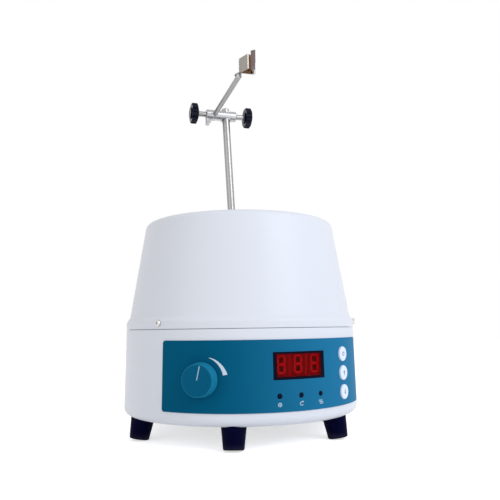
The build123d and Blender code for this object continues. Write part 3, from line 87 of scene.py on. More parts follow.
BORDER_ACROSS, BORDER_RISE = (19.3 * MM, 19.8 * MM), (8.2 * MM, 8.7 * MM)  # soft edge of the border
WINDOW_SHIFT = 0.2 * MM  # the window's middle is this far up and to the left
HOLE_EDGE = (0.8 * MM, 2.6 * MM)  # soft edge of a digit's hole
SEAM_START = 6.0 * MM  # from a digit's middle to where its seam begins to light up
KNOB_HIGHLIGHT = (11.0 * MM, 12.4 * MM)  # radii between which a painted highlight makes the knob's edge paler
FOIL_RUN = (-30.0 * MM, 95.0 * MM)  # X between which the foil turns lighter
SCUFF_HEIGHT = 6.0 * MM
MERGE_DISTANCE = 1e-7

LIGHT_TARGET = (0.0, 0.0, 0.12)
KEY_LIGHT_PLACE, KEY_LIGHT_SIZE, KEY_LIGHT_TONE = (0.9, -0.8, 0.8), 0.7, (0.86, 0.90, 1.0)
FILL_LIGHT_PLACE, FILL_LIGHT_SIZE, FILL_LIGHT_SHARE = (-0.9, -0.9, 0.5), 0.9, 0.25
FLOOR_HALF_WIDTH = 3.0


# ---------------------------------------------------------------- settings
def colour(name, description, value):
    """A colour setting, given as linear red, green and blue."""
    return FloatVectorProperty(
        name=name, description=description, default=value, subtype="COLOR", min=0.0, max=1.0
    )


def length(name, description, millimetres):
    return FloatProperty(name=name, description=description, default=millimetres * MM, unit="LENGTH")


def share(name, description, value):
    return FloatProperty(
        name=name, description=description, default=value, min=0.0, max=1.0, subtype="FACTOR"
    )


def angle(name, description, degrees):
    return FloatProperty(
        name=name, description=description, default=math.radians(degrees), subtype="ANGLE"
    )


class ShellSettings(PropertyGroup):
    paint: colour("Paint", "Colour of the two shells", (0.71, 0.735, 0.79))
    gloss: share("Roughness", "Roughness of the shells' paint", 0.38)
    peel: length("Orange peel", "Size of the paint's faint ripples", 2.2)
    rubber: colour("Feet", "Colour of the rubber feet", (0.0004, 0.0006, 0.016))


class PanelSettings(PropertyGroup):
    foil_dark: colour("Foil, left", "Printed colour at the left end of the foil", (0.0002, 0.090, 0.178))
    foil_light: colour("Foil, right", "Printed colour at the right end of the foil", (0.015, 0.172, 0.335))
    ink: colour("Ink", "Colour of the pale printing", (0.62, 0.70, 0.82))
    filter: colour("Window", "Colour of the window's filter", (0.03, 0.0003, 0.001))
    border: colour("Border", "Colour printed round the window", (0.004, 0.003, 0.012))
    glow: colour("Digits", "Colour of the lit bars", (1.0, 0.008, 0.010))
    glow_strength: FloatProperty(name="Glow", description="Brightness of the lit bars", default=0.30, min=0.0)
    keycap: colour("Buttons", "Colour of the button caps", (0.70, 0.79, 0.93))


class KnobSettings(PropertyGroup):
    body: colour("Knob", "Colour of the knob", (0.0005, 0.094, 0.187))
    # the edge colour is a painted highlight on the knob's rim
    edge: colour("Edge", "Colour of the knob's rubbed edge", (0.012, 0.21, 0.37))
    mark: colour("Pointer", "Colour of the pointer", (0.28, 0.46, 0.58))
    turn: angle("Turn", "Turn of the pointer, clockwise from straight up", 12.0)


class BowlSettings(PropertyGroup):
    cloth: colour("Cloth", "Colour of the woven glass", (0.74, 0.72, 0.66))
    yarn: colour("Yarn", "Colour of the heating cord's sleeve and its stitches", (0.80, 0.78, 0.72))
    cord: length("Cord", "Height of the sewn heating cord over the cloth", 1.3)
    rows: IntProperty(name="Rows", description="Number of rows of sewn heating cord", default=10, min=3)


class MetalSettings(PropertyGroup):
    steel: colour("Steel", "Colour of the rod and the arm", (0.335, 0.332, 0.326))
    cast: colour("Cast clamp", "Colour of the boss head", (0.44, 0.44, 0.45))
    star: colour("Star knobs", "Colour of the star knobs", (0.0015, 0.0022, 0.014))
    jaw: colour("Fixed jaw", "Colour of the clip's fixed jaw", (0.34, 0.315, 0.285))
    # the moving jaw's dark tone is painted shade, a darkened copy of the jaw steel
    shaded_lever: colour("Moving jaw", "Colour of the clip's moving jaw", (0.15, 0.115, 0.115))
    cork: colour("Cork", "Colour of the clip's pads", (0.20, 0.095, 0.040))


class StudioSettings(PropertyGroup):
    distance: length("Distance", "Camera distance in front of the axis", 536.3)
    height: length("Height", "Camera height over the table", 90.9)
    lens: FloatProperty(name="Lens", description="Focal length in millimetres", default=41.184, min=1.0)
    pitch: angle("Pitch", "Upward tilt", 7.753)
    yaw: angle("Yaw", "Turn to the right", 1.079)
    roll: angle("Roll", "Turn about the view", -0.786)
    sky: FloatProperty(name="Sky", description="Strength of the even light", default=0.62, min=0.0)
    key: FloatProperty(name="Key light", description="Power of the key light in watts", default=9.0, min=0.0)


# ---------------------------------------------------------------- node helpers
def add_node(tree, kind, **values):
    """A new node; a value goes to an attribute, or to the input of that name."""
    node = tree.nodes.new(kind)
    for name, value in values.items():
        if hasattr(node, name):
            setattr(node, name, value)
        else:
            node.inputs[name.replace("_", " ")].default_value = value
    return node


def join(tree, source, target):
    tree.links.new(source, target)


def finish(name, base, roughness, metallic=0.0, coat=0.0, specular=0.5):
    """A new material and its Principled shader."""
    material = bpy.data.materials.new(name)
    material.use_nodes = True
    shader = material.node_tree.nodes["Principled BSDF"]
    shader.inputs["Base Color"].default_value = (*base, 1.0)
    shader.inputs["Roughness"].default_value = roughness
    shader.inputs["Metallic"].default_value = metallic
    shader.inputs["Coat Weight"].default_value = coat
    shader.inputs["Coat Roughness"].default_value = 0.06
    shader.inputs["Specular IOR Level"].default_value = specular
    return material, material.node_tree, shader


def new_group(name, inputs, outputs):
    """An empty node group with its sockets; returns the tree and its two end nodes."""
    tree = bpy.data.node_groups.new(name, "ShaderNodeTree")
    for socket, kind, value in inputs:
        made = tree.interface.new_socket(socket, in_out="INPUT", socket_type=kind)
        if value is not None:
            made.default_value = value
    for socket, kind in outputs:
        tree.interface.new_socket(socket, in_out="OUTPUT", socket_type=kind)
    return tree, tree.nodes.new("NodeGroupInput"), tree.nodes.new("NodeGroupOutput")


def use_group(tree, name, **values):
    """Places a node group in a material with its own values."""
    node = tree.nodes.new("ShaderNodeGroup")
    node.node_tree = bpy.data.node_groups[name]
    for socket, value in values.items():
        node.inputs[socket.replace("_", " ")].default_value = value
    return node


def object_vector(tree, scale=(1.0, 1.0, 1.0)):
    """Object coordinates, stretched for the pattern that reads them."""
    place = add_node(tree, "ShaderNodeTexCoord")
    mapping = add_node(tree, "ShaderNodeMapping", vector_type="TEXTURE")
    mapping.inputs["Scale"].default_value = scale
    join(tree, place.outputs["Object"], mapping.inputs["Vector"])
    return mapping.outputs["Vector"]


def object_axes(tree):
    """Object coordinates, whole and split into X, Y and Z."""
    place = add_node(tree, "ShaderNodeTexCoord")
    split = add_node(tree, "ShaderNodeSeparateXYZ")
    join(tree, place.outputs["Object"], split.inputs[0])
    return place.outputs["Object"], split.outputs


def math_node(tree, operation, *values):
    """A Math node on sockets or numbers."""
    node = add_node(tree, "ShaderNodeMath", operation=operation)
    for index, value in enumerate(values):
        if isinstance(value, (int, float)):
            node.inputs[index].default_value = value
        else:
            join(tree, value, node.inputs[index])
    return node.outputs[0]


def place_on_base(tree, angle, height):
    """Place on the base in metres, sideways and upwards from a point at that angle and height."""
    turn = math.radians(angle)
    place, axes = object_axes(tree)
    across = add_node(tree, "ShaderNodeVectorMath", operation="DOT_PRODUCT")
    across.inputs[1].default_value = (math.cos(turn), math.sin(turn), 0.0)
    join(tree, place, across.inputs[0])
    return across.outputs["Value"], math_node(tree, "SUBTRACT", axes["Z"], height)


def ramp(tree, value, start, end):
    """A soft step from 0 at start to 1 at end."""
    node = add_node(tree, "ShaderNodeMapRange", interpolation_type="SMOOTHSTEP")
    node.inputs["From Min"].default_value = start
    node.inputs["From Max"].default_value = end
    join(tree, value, node.inputs["Value"])
    return node.outputs["Result"]


def distance_of(tree, across, rise):
    """Length of a step sideways and upwards."""
    squares = [math_node(tree, "MULTIPLY", value, value) for value in (across, rise)]
    return math_node(tree, "SQRT", math_node(tree, "ADD", *squares))


def build_moulded_skin():
    """Faint ripples and cloudiness of a moulded or sprayed surface."""
    tree, start, end = new_group(
        "moulded_skin",
        [
            ("Vector", "NodeSocketVector", None),
            ("Ripple Scale", "NodeSocketFloat", 500.0),
            ("Ripple Depth", "NodeSocketFloat", 0.05),
            ("Roughness", "NodeSocketFloat", 0.3),
            ("Variation", "NodeSocketFloat", 0.05),
        ],
        [("Normal", "NodeSocketVector"), ("Roughness", "NodeSocketFloat"), ("Cloud", "NodeSocketFloat")],
    )
    ripple = add_node(tree, "ShaderNodeTexNoise", Detail=3.0)
    join(tree, start.outputs["Vector"], ripple.inputs["Vector"])
    join(tree, start.outputs["Ripple Scale"], ripple.inputs["Scale"])
    bump = add_node(tree, "ShaderNodeBump", Distance=0.0004)
    join(tree, start.outputs["Ripple Depth"], bump.inputs["Strength"])
    join(tree, ripple.outputs["Fac"], bump.inputs["Height"])
    join(tree, bump.outputs["Normal"], end.inputs["Normal"])
    cloud = add_node(tree, "ShaderNodeTexNoise", Scale=28.0, Detail=4.0)
    join(tree, start.outputs["Vector"], cloud.inputs["Vector"])
    join(tree, cloud.outputs["Fac"], end.inputs["Cloud"])
    swing = math_node(tree, "SUBTRACT", cloud.outputs["Fac"], 0.5)
    swing = math_node(tree, "MULTIPLY", swing, start.outputs["Variation"])
    join(tree, math_node(tree, "ADD", swing, start.outputs["Roughness"]), end.inputs["Roughness"])


def build_drawn_lines():
    """Fine lines along a drawn, turned or rolled metal surface, with a few smudges."""
    tree, start, end = new_group(
        "drawn_lines",
        [
            ("Vector", "NodeSocketVector", None),
            ("Line Depth", "NodeSocketFloat", 0.15),
            ("Roughness", "NodeSocketFloat", 0.3),
        ],
        [("Normal", "NodeSocketVector"), ("Roughness", "NodeSocketFloat"), ("Lines", "NodeSocketFloat")],
    )
    lines = add_node(tree, "ShaderNodeTexNoise", Scale=1000.0, Detail=2.0)
    join(tree, start.outputs["Vector"], lines.inputs["Vector"])
    bump = add_node(tree, "ShaderNodeBump", Distance=0.0001)
    join(tree, start.outputs["Line Depth"], bump.inputs["Strength"])
    join(tree, lines.outputs["Fac"], bump.inputs["Height"])
    smudge = add_node(tree, "ShaderNodeTexNoise", Scale=90.0, Detail=3.0)
    place = add_node(tree, "ShaderNodeTexCoord")
    join(tree, place.outputs["Object"], smudge.inputs["Vector"])
    swing = math_node(tree, "ADD", lines.outputs["Fac"], smudge.outputs["Fac"])
    swing = math_node(tree, "MULTIPLY", math_node(tree, "SUBTRACT", swing, 1.0), 0.18)
    join(tree, math_node(tree, "ADD", swing, start.outputs["Roughness"]), end.inputs["Roughness"])
    join(tree, bump.outputs["Normal"], end.inputs["Normal"])
    join(tree, lines.outputs["Fac"], end.inputs["Lines"])


def build_settled_dust():
    """Mask of dust and wear: more on faces that look up, broken up by noise."""
    tree, start, end = new_group(
        "settled_dust",
        [("Amount", "NodeSocketFloat", 0.2), ("Scale", "NodeSocketFloat", 60.0)],
        [("Mask", "NodeSocketFloat")],
    )
    place = add_node(tree, "ShaderNodeTexCoord")
    noise = add_node(tree, "ShaderNodeTexNoise", Detail=6.0)
    join(tree, place.outputs["Object"], noise.inputs["Vector"])
    join(tree, start.outputs["Scale"], noise.inputs["Scale"])
    facing = add_node(tree, "ShaderNodeNewGeometry")
    upward = add_node(tree, "ShaderNodeSeparateXYZ")
    join(tree, facing.outputs["Normal"], upward.inputs[0])
    lifted = math_node(tree, "MAXIMUM", upward.outputs["Z"], 0.15)
    mask = math_node(tree, "MULTIPLY", lifted, noise.outputs["Fac"])
    join(tree, math_node(tree, "MULTIPLY", mask, start.outputs["Amount"]), end.inputs["Mask"])


def skin_on(tree, shader, scale, depth, roughness, variation):
    """Gives a shader the moulded skin's normal and roughness; returns the group node."""
    skin = use_group(
        tree, "moulded_skin", Ripple_Scale=scale, Ripple_Depth=depth, Roughness=roughness, Variation=variation
    )
    join(tree, object_vector(tree), skin.inputs["Vector"])
    join(tree, skin.outputs["Normal"], shader.inputs["Normal"])
    join(tree, skin.outputs["Roughness"], shader.inputs["Roughness"])
    return skin


def tint(tree, shader, mask, first, second):
    """Mixes two base colours by a mask."""
    mix = add_node(tree, "ShaderNodeMix", data_type="RGBA")
    mix.inputs[6].default_value = (*first, 1.0)
    mix.inputs[7].default_value = (*second, 1.0)
    join(tree, mask, mix.inputs[0])
    join(tree, mix.outputs[2], shader.inputs["Base Color"])
    return mix


def shaded(base, factor):
    return tuple(min(1.0, channel * factor) for channel in base)


def plastic(name, base, roughness=0.4, ripple=900.0, depth=0.12, coat=0.0, specular=0.5):
    """Moulded plastic, with a slight cloudiness of its colour."""
    material, tree, shader = finish(name, base, roughness, coat=coat, specular=specular)
    skin = skin_on(tree, shader, ripple, depth, roughness, 0.12)
    tint(tree, shader, skin.outputs["Cloud"], shaded(base, 0.92), shaded(base, 1.08))
    return material


def metal(name, base, roughness=0.3, grain=(1.0, 1.0, 1.0), line_depth=0.12):
    """Bare metal, with lines drawn out along the axis where grain is largest."""
    material, tree, shader = finish(name, base, roughness, metallic=1.0)
    lines = use_group(tree, "drawn_lines", Line_Depth=line_depth, Roughness=roughness)
    join(tree, object_vector(tree, grain), lines.inputs["Vector"])
    join(tree, lines.outputs["Normal"], shader.inputs["Normal"])
    join(tree, lines.outputs["Roughness"], shader.inputs["Roughness"])
    tint(tree, shader, lines.outputs["Lines"], shaded(base, 0.9), shaded(base, 1.1))
    return material


def dress(material, *names):
    """Gives CAD nodes their material."""
    for name in names:
        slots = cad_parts[name].data.materials
        slots.clear()
        slots.append(material)


# ---------------------------------------------------------------- mesh helpers
def foil_radius(height):
    """Radius of the foil's outside, which leans in with the base."""
    rise = (height - BASE_UNDERSIDE) / (SPLIT_HEIGHT - BASE_UNDERSIDE)
    return BASE_RADIUS + (BASE_TOP_RADIUS - BASE_RADIUS) * rise + FOIL_THICKNESS


def verts_in(geometry):
    return [item for item in geometry if isinstance(item, bmesh.types.BMVert)]


def piece(name, bm, material, body, smooth=True):
    """Turns a bmesh into a closed object that rides on a body."""
    bmesh.ops.remove_doubles(bm, verts=bm.verts, dist=MERGE_DISTANCE)
    bmesh.ops.recalc_face_normals(bm, faces=bm.faces)
    mesh = bpy.data.meshes.new(name)
    bm.to_mesh(mesh)
    bm.free()
    mesh.materials.append(material)
    if smooth:
        mesh.shade_smooth()
    made = bpy.data.objects.new(name, mesh)
    bpy.context.scene.collection.objects.link(made)
    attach(made, body)
    return made


def thicken(bm, depth):
    """Gives a flat drawing on Z = 0 its thickness."""
    bmesh.ops.remove_doubles(bm, verts=bm.verts, dist=MERGE_DISTANCE)
    grown = bmesh.ops.extrude_face_region(bm, geom=list(bm.faces))
    bmesh.ops.translate(bm, verts=verts_in(grown["geom"]), vec=(0, 0, depth))


def wrap(bm, angle, height):
    """Lays a drawing (X sideways, Y up) round the base, on the foil."""
    radius = foil_radius(height)
    for vert in bm.verts:
        turn = math.radians(angle) + vert.co.x / radius
        rise = height + vert.co.y
        out = foil_radius(rise) + vert.co.z
        vert.co = (out * math.sin(turn), -out * math.cos(turn), rise)


def stand_out(bm, angle, radius, height):
    """Sets a drawing (X sideways, Y up, Z outwards) on a plane round the body."""
    turn = math.radians(angle)
    out = Vector((math.sin(turn), -math.cos(turn), 0))
    side = Vector((math.cos(turn), math.sin(turn), 0))
    place = Matrix.Translation(out * radius + Vector((0, 0, height)))
    place @= Matrix((side, (0, 0, 1), out)).transposed().to_4x4()
    bmesh.ops.transform(bm, matrix=place, verts=bm.verts)


def add_bar(bm, left, right, low, high):
    """A flat rectangle."""
    verts = bmesh.ops.create_grid(bm, x_segments=1, y_segments=1, size=0.5)["verts"]
    bmesh.ops.scale(bm, verts=verts, vec=(right - left, high - low, 1))
    bmesh.ops.translate(bm, verts=verts, vec=((left + right) / 2, (low + high) / 2, 0))


def add_ring(bm, centre, inner, outer, start=0.0, sweep=360.0, steps=32):
    """A flat ring or part of one; angles count from +X, in degrees."""
    kept = set(bm.verts)
    first = Matrix.Rotation(math.radians(start), 3, "Z")
    ends = [bm.verts.new(first @ Vector((radius, 0, 0))) for radius in (inner, outer)]
    edge = bm.edges.new(ends)
    bmesh.ops.spin(
        bm, geom=[*ends, edge], cent=(0, 0, 0), axis=(0, 0, 1),
        angle=math.radians(sweep), steps=steps, use_merge=sweep == 360.0,
    )
    fresh = [vert for vert in bm.verts if vert not in kept]
    bmesh.ops.translate(bm, verts=fresh, vec=(*centre, 0))


def add_loop(bm, radius, thick, sweep, steps, sides):
    """A round cord bent about Z, from +X; a part of a turn gets flat ends. Returns its geometry."""
    kept = set(bm.verts)
    ring = bmesh.ops.create_circle(bm, radius=thick, segments=sides)["verts"]
    bmesh.ops.rotate(bm, verts=ring, matrix=Matrix.Rotation(math.pi / 2, 3, "X"))
    bmesh.ops.translate(bm, verts=ring, vec=(radius, 0, 0))
    edges = list({edge for vert in ring for edge in vert.link_edges})
    whole = sweep == 2 * math.pi
    bmesh.ops.spin(
        bm, geom=ring + edges, cent=(0, 0, 0), axis=(0, 0, 1), angle=sweep, steps=steps, use_merge=whole
    )
    verts = [vert for vert in bm.verts if vert not in kept]
    edges = list({edge for vert in verts for edge in vert.link_edges})
    bmesh.ops.holes_fill(bm, edges=edges)
    return verts + edges + list({face for vert in verts for face in vert.link_faces})


# ---------------------------------------------------------------- shells and feet
def shell_paint(settings):
    """Glossy white paint with a faint orange peel."""
    material, tree, shader = finish("shell_paint", settings.paint, settings.gloss, specular=0.2)
    skin = skin_on(tree, shader, 1.0 / settings.peel, 0.02, settings.gloss, 0.05)
    dust = use_group(tree, "settled_dust", Amount=0.10, Scale=40.0)
    cloud = math_node(tree, "MULTIPLY", skin.outputs["Cloud"], 0.12)
    both = math_node(tree, "ADD", dust.outputs["Mask"], cloud)
    tint(tree, shader, both, settings.paint, shaded(settings.paint, 0.86))
    return material


def foot_rubber(settings):
    """Navy-black rubber, greyed by scuffs near the table."""
    material, tree, shader = finish("foot_rubber", settings.rubber, 0.62, specular=0.03)
    skin = skin_on(tree, shader, 1400.0, 0.35, 0.6, 0.2)
    _, axes = object_axes(tree)
    scuff = add_node(tree, "ShaderNodeMapRange")
    scuff.inputs["From Min"].default_value = SCUFF_HEIGHT
    scuff.inputs["From Max"].default_value = 0.0
    join(tree, axes["Z"], scuff.inputs["Value"])
    mask = math_node(tree, "MULTIPLY", scuff.outputs["Result"], skin.outputs["Cloud"])
    tint(tree, shader, mask, settings.rubber, (0.04, 0.04, 0.06))
    return material


class MANTLE_OT_shells(Operator):
    """Paint the two shells and finish the screws between them"""

    bl_idname = "mantle.shells"
    bl_label = "Shells"

    def execute(self, context):
        settings = context.scene.mantle_shell
        dress(shell_paint(settings), "base_shell", "upper_shell")
        dress(metal("screw_plating", (0.62, 0.61, 0.60), 0.22), "side_screws")
        return {"FINISHED"}


class MANTLE_OT_feet(Operator):
    """Finish the rubber feet and their screws"""

    bl_idname = "mantle.feet"
    bl_label = "Feet"

    def execute(self, context):
        rubber = foot_rubber(context.scene.mantle_shell)
        dress(rubber, *[f"foot_{number}" for number in range(1, 7)])
        dress(metal("foot_screw_plating", (0.50, 0.49, 0.47), 0.35), "foot_screws")
        return {"FINISHED"}


# ---------------------------------------------------------------- control panel
def panel_foil(settings):
    """Printed foil, which runs from deep teal at the left to a lighter blue at the right."""
    material, tree, shader = finish("panel_foil", settings.foil_dark, 0.45, specular=0.02)
    skin_on(tree, shader, 2500.0, 0.10, 0.45, 0.05)
    _, axes = object_axes(tree)
    tint(tree, shader, ramp(tree, axes["X"], *FOIL_RUN), settings.foil_dark, settings.foil_light)
    return material


def printing_ink(settings):
    material, tree, shader = finish("printing_ink", settings.ink, 0.5)
    skin = skin_on(tree, shader, 3000.0, 0.15, 0.5, 0.1)
    tint(tree, shader, skin.outputs["Cloud"], shaded(settings.ink, 0.9), settings.ink)
    return material


def draw_dial_arc(ink):
    """The wedge printed beside the knob, which widens as the knob turns up."""
    bm = bmesh.new()
    add_ring(bm, (0, 0), ARC_RADIUS, ARC_RADIUS + ARC_THIN, ARC_START, ARC_END - ARC_START, 28)
    for vert in bm.verts:
        radius = vert.co.length
        if radius > ARC_RADIUS + ARC_THIN / 2:
            turn = math.degrees(math.atan2(vert.co.y, vert.co.x))
            widened = (ARC_THICK - ARC_THIN) * (ARC_START - turn) / (ARC_START - ARC_END)
            vert.co *= (radius + widened) / radius
    thicken(bm, PRINT_DEPTH)
    wrap(bm, KNOB_ANGLE, KNOB_HEIGHT)
    piece("dial_arc", bm, ink, "mantle", smooth=False)


def draw_lamp_signs(ink):
    """Small signs under the lamps: a target, a turning arrow and three heat waves."""
    bm = bmesh.new()
    height = LAMP_HEIGHT - SIGN_DROP
    add_ring(bm, (0, 0), *SIGN_RING, steps=24)
    add_ring(bm, (0, 0), 0.05 * MM, 0.5 * MM, steps=12)
    thicken(bm, PRINT_DEPTH)
    wrap(bm, LAMP_ANGLES[0], height)
    piece("target_sign", bm, ink, "mantle", smooth=False)

    bm = bmesh.new()
    add_ring(bm, (0, 0), *SIGN_RING, 60.0, 270.0, 24)
    tip = [bm.verts.new((x * MM, y * MM, 0)) for x, y in ((0.6, 2.0), (1.9, 1.5), (0.9, 0.6))]
    bm.faces.new(tip)
    thicken(bm, PRINT_DEPTH)
    wrap(bm, LAMP_ANGLES[1], height)
    piece("stir_sign", bm, ink, "mantle", smooth=False)

    bm = bmesh.new()
    for shift in (-1.3, 0.0, 1.3):
        for rise, turn in ((0.75, 180.0), (-0.75, -180.0)):
            add_ring(bm, (shift * MM, rise * MM), 0.55 * MM, 0.9 * MM, 90.0, turn, 8)
    thicken(bm, PRINT_DEPTH)
    wrap(bm, LAMP_ANGLES[2], height)
    piece("heat_sign", bm, ink, "mantle", smooth=False)


class MANTLE_OT_panel(Operator):
    """Print the foil of the control panel"""

    bl_idname = "mantle.panel"
    bl_label = "Control panel foil"

    def execute(self, context):
        settings = context.scene.mantle_panel
        dress(panel_foil(settings), "panel_overlay")
        ink = printing_ink(settings)
        draw_dial_arc(ink)
        draw_lamp_signs(ink)
        return {"FINISHED"}


def window_filter(settings):
    """Dark red filter that lets the digits through, with a border printed round it."""
    material, tree, shader = finish("window_filter", settings.filter, 0.2, specular=0.03)
    across, rise = place_on_base(tree, WINDOW_ANGLE, WINDOW_HEIGHT)
    across = math_node(tree, "ABSOLUTE", math_node(tree, "ADD", across, WINDOW_SHIFT))
    rise = math_node(tree, "ABSOLUTE", math_node(tree, "SUBTRACT", rise, WINDOW_SHIFT))
    side = ramp(tree, across, *BORDER_ACROSS)
    edge = ramp(tree, rise, *BORDER_RISE)
    border = math_node(tree, "MAXIMUM", side, edge)
    skin_on(tree, shader, 300.0, 0.02, 0.20, 0.04)
    tint(tree, shader, border, settings.filter, settings.border)
    join(tree, math_node(tree, "MAXIMUM", border, 0.3), shader.inputs["Alpha"])
    return material


def display_face(settings):
    """Face of the display modules: lit red, brighter along their seams and dark in the digits' holes."""
    material, tree, shader = finish("display_face", (0.02, 0.0005, 0.0005), 0.6, specular=0.1)
    shader.inputs["Emission Color"].default_value = (*settings.glow, 1.0)
    across, rise = place_on_base(tree, WINDOW_ANGLE, WINDOW_HEIGHT)
    half = DIGIT_PITCH / 2
    across = math_node(tree, "WRAP", across, DIGIT_MIDDLE + half, DIGIT_MIDDLE - half)
    across = math_node(tree, "ABSOLUTE", math_node(tree, "SUBTRACT", across, DIGIT_MIDDLE))
    rise = math_node(tree, "ABSOLUTE", math_node(tree, "SUBTRACT", rise, DIGIT_RISE))
    rise = math_node(tree, "SUBTRACT", rise, COUNTER_RISE)
    away = distance_of(tree, across, rise)
    lit = math_node(tree, "MULTIPLY_ADD", ramp(tree, away, *HOLE_EDGE), 0.17, 0.06)
    seam = math_node(tree, "MULTIPLY", ramp(tree, across, SEAM_START, half), 0.22)
    cloud = add_node(tree, "ShaderNodeTexNoise", Scale=260.0, Detail=2.0)
    join(tree, object_vector(tree), cloud.inputs["Vector"])
    uneven = math_node(tree, "MULTIPLY_ADD", cloud.outputs["Fac"], 0.5, 0.75)
    glow = math_node(tree, "MULTIPLY", math_node(tree, "ADD", lit, seam), uneven)
    join(tree, glow, shader.inputs["Emission Strength"])
    return material


def lit_bars(settings):
    """Bars of the digits: red plastic that glows."""
    material, tree, shader = finish("lit_bars", shaded(settings.glow, 0.05), 0.5, specular=0.1)
    noise = add_node(tree, "ShaderNodeTexNoise", Scale=500.0, Detail=2.0)
    join(tree, object_vector(tree), noise.inputs["Vector"])
    shader.inputs["Emission Strength"].default_value = settings.glow_strength
    mix = tint(tree, shader, noise.outputs["Fac"], shaded(settings.glow, 0.6), settings.glow)
    join(tree, mix.outputs[2], shader.inputs["Emission Color"])
    return material


class MANTLE_OT_display(Operator):
    """Finish the display, its window and the lamps"""

    bl_idname = "mantle.display"
    bl_label = "Display and lamps"

    def execute(self, context):
        settings = context.scene.mantle_panel
        dress(window_filter(settings), "display_window")
        dress(lit_bars(settings), "led_segments")
        dress(display_face(settings), "led_display")
        lens = plastic("lamp_lens", (0.0012, 0.006, 0.028), 0.25, 600.0, 0.03, specular=0.03)
        dress(lens, "indicator_lamps")
        return {"FINISHED"}


class MANTLE_OT_keys(Operator):
    """Finish the three push buttons and print their signs"""

    bl_idname = "mantle.keys"
    bl_label = "Push buttons"

    def execute(self, context):
        settings = context.scene.mantle_panel
        cap = plastic("keycap", settings.keycap, 0.3, 500.0, 0.04, specular=0.3)
        dress(cap, "set_button", "up_button", "down_button")
        ink = plastic("key_ink", (0.15, 0.17, 0.27), 0.5, specular=0.2)
        for body, height, sign in zip(("set_key", "up_key", "down_key"), KEY_HEIGHTS, (0, 1, -1)):
            bm = bmesh.new()
            if sign:
                add_bar(bm, -0.5 * MM, 0.5 * MM, -1.9 * MM, 0.1 * MM)
                head = ((-1.5, 0.1), (1.5, 0.1), (0, 2.1))
                bm.faces.new([bm.verts.new((x * MM, y * MM, 0)) for x, y in head])
                bmesh.ops.scale(bm, verts=bm.verts, vec=(1, sign, 1))
            else:
                add_ring(bm, (0, 0), 1.0 * MM, 1.7 * MM, steps=24)
            thicken(bm, PRINT_DEPTH)
            stand_out(bm, KEY_ANGLE, foil_radius(height) + KEY_PROUD, height)
            piece(f"{body}_sign", bm, ink, body, smooth=False)
        return {"FINISHED"}


def knob_plastic(settings):
    """Moulded teal plastic, with a painted highlight that makes its edge and side paler."""
    material, tree, shader = finish("knob_plastic", settings.body, 0.38, specular=0.04)
    skin = skin_on(tree, shader, 1100.0, 0.10, 0.38, 0.10)
    dark, light = shaded(settings.body, 0.9), shaded(settings.body, 1.1)
    clouded = tint(tree, shader, skin.outputs["Cloud"], dark, light)
    from_axis = distance_of(tree, *place_on_base(tree, KNOB_ANGLE, KNOB_HEIGHT))
    # painted highlight: the knob turns paler towards its rim
    highlighted = ramp(tree, from_axis, *KNOB_HIGHLIGHT)
    edge_highlight_mix = tint(tree, shader, math_node(tree, "MULTIPLY", highlighted, 0.85), settings.body, settings.edge)
    join(tree, clouded.outputs[2], edge_highlight_mix.inputs[6])
    return material


def draw_pointer(settings):
    """Pale line that fills the knob's pointer groove."""
    mark = plastic("pointer_mark", settings.mark, 0.45, 900.0, 0.1, specular=0.3)
    bm = bmesh.new()
    half = 0.45 * POINTER_WIDTH
    add_bar(bm, -half, half, half, POINTER_REACH)
    thicken(bm, 0.95 * POINTER_DEPTH)
    bmesh.ops.rotate(bm, verts=bm.verts, matrix=Matrix.Rotation(-settings.turn, 3, "Z"))
    stand_out(bm, KNOB_ANGLE, foil_radius(KNOB_HEIGHT) + KNOB_FRONT - POINTER_DEPTH, KNOB_HEIGHT)
    piece("knob_pointer", bm, mark, "knob", smooth=False)


class MANTLE_OT_knob(Operator):
    """Finish the control knob and lay the line in its groove"""

    bl_idname = "mantle.knob"
    bl_label = "Control knob"

    def execute(self, context):
        settings = context.scene.mantle_knob
        dress(knob_plastic(settings), "control_knob")
        draw_pointer(settings)
        dress(metal("shaft_steel", (0.55, 0.55, 0.54), 0.3), "pot_shaft", "pot_nut")
        dress(metal("zinc_can", (0.58, 0.57, 0.52), 0.38), "potentiometer")
        return {"FINISHED"}


# ---------------------------------------------------------------- bowl
def woven_glass(settings):
    """Woven glass yarn: crossing rows round the bowl and up its sides."""
    material, tree, shader = finish("woven_glass", settings.cloth, 0.85)
    shader.inputs["Sheen Weight"].default_value = 0.3
    place, axes = object_axes(tree)
    turn = math_node(tree, "ARCTAN2", axes["Y"], axes["X"])
    out = add_node(tree, "ShaderNodeVectorMath", operation="LENGTH")
    flat = add_node(tree, "ShaderNodeCombineXYZ")
    join(tree, axes["X"], flat.inputs["X"])
    join(tree, axes["Y"], flat.inputs["Y"])
    join(tree, flat.outputs[0], out.inputs[0])
    drop = math_node(tree, "SUBTRACT", BOWL_CENTRE, axes["Z"])
    slope = math_node(tree, "ARCTAN2", out.outputs["Value"], drop)
    warp = math_node(tree, "SINE", math_node(tree, "MULTIPLY", turn, WARP_RATE))
    weft = math_node(tree, "SINE", math_node(tree, "MULTIPLY", slope, WEFT_RATE))
    cross = math_node(tree, "MULTIPLY", warp, weft)
    fuzz = add_node(tree, "ShaderNodeTexNoise", Scale=900.0, Detail=4.0)
    join(tree, place, fuzz.inputs["Vector"])
    height = math_node(tree, "ADD", cross, math_node(tree, "MULTIPLY", fuzz.outputs["Fac"], 1.2))
    bump = add_node(tree, "ShaderNodeBump", Strength=0.55, Distance=0.0004)
    join(tree, height, bump.inputs["Height"])
    join(tree, bump.outputs["Normal"], shader.inputs["Normal"])
    mask = math_node(tree, "ADD", math_node(tree, "MULTIPLY", cross, 0.25), fuzz.outputs["Fac"])
    tint(tree, shader, mask, shaded(settings.cloth, 0.72), settings.cloth)
    return material


def on_bowl(radius, slope):
    """A point of the bowl's section; slope is 0 at the bottom and a quarter turn at the mouth."""
    return Vector((radius * math.sin(slope), 0.0, BOWL_CENTRE - radius * math.cos(slope)))


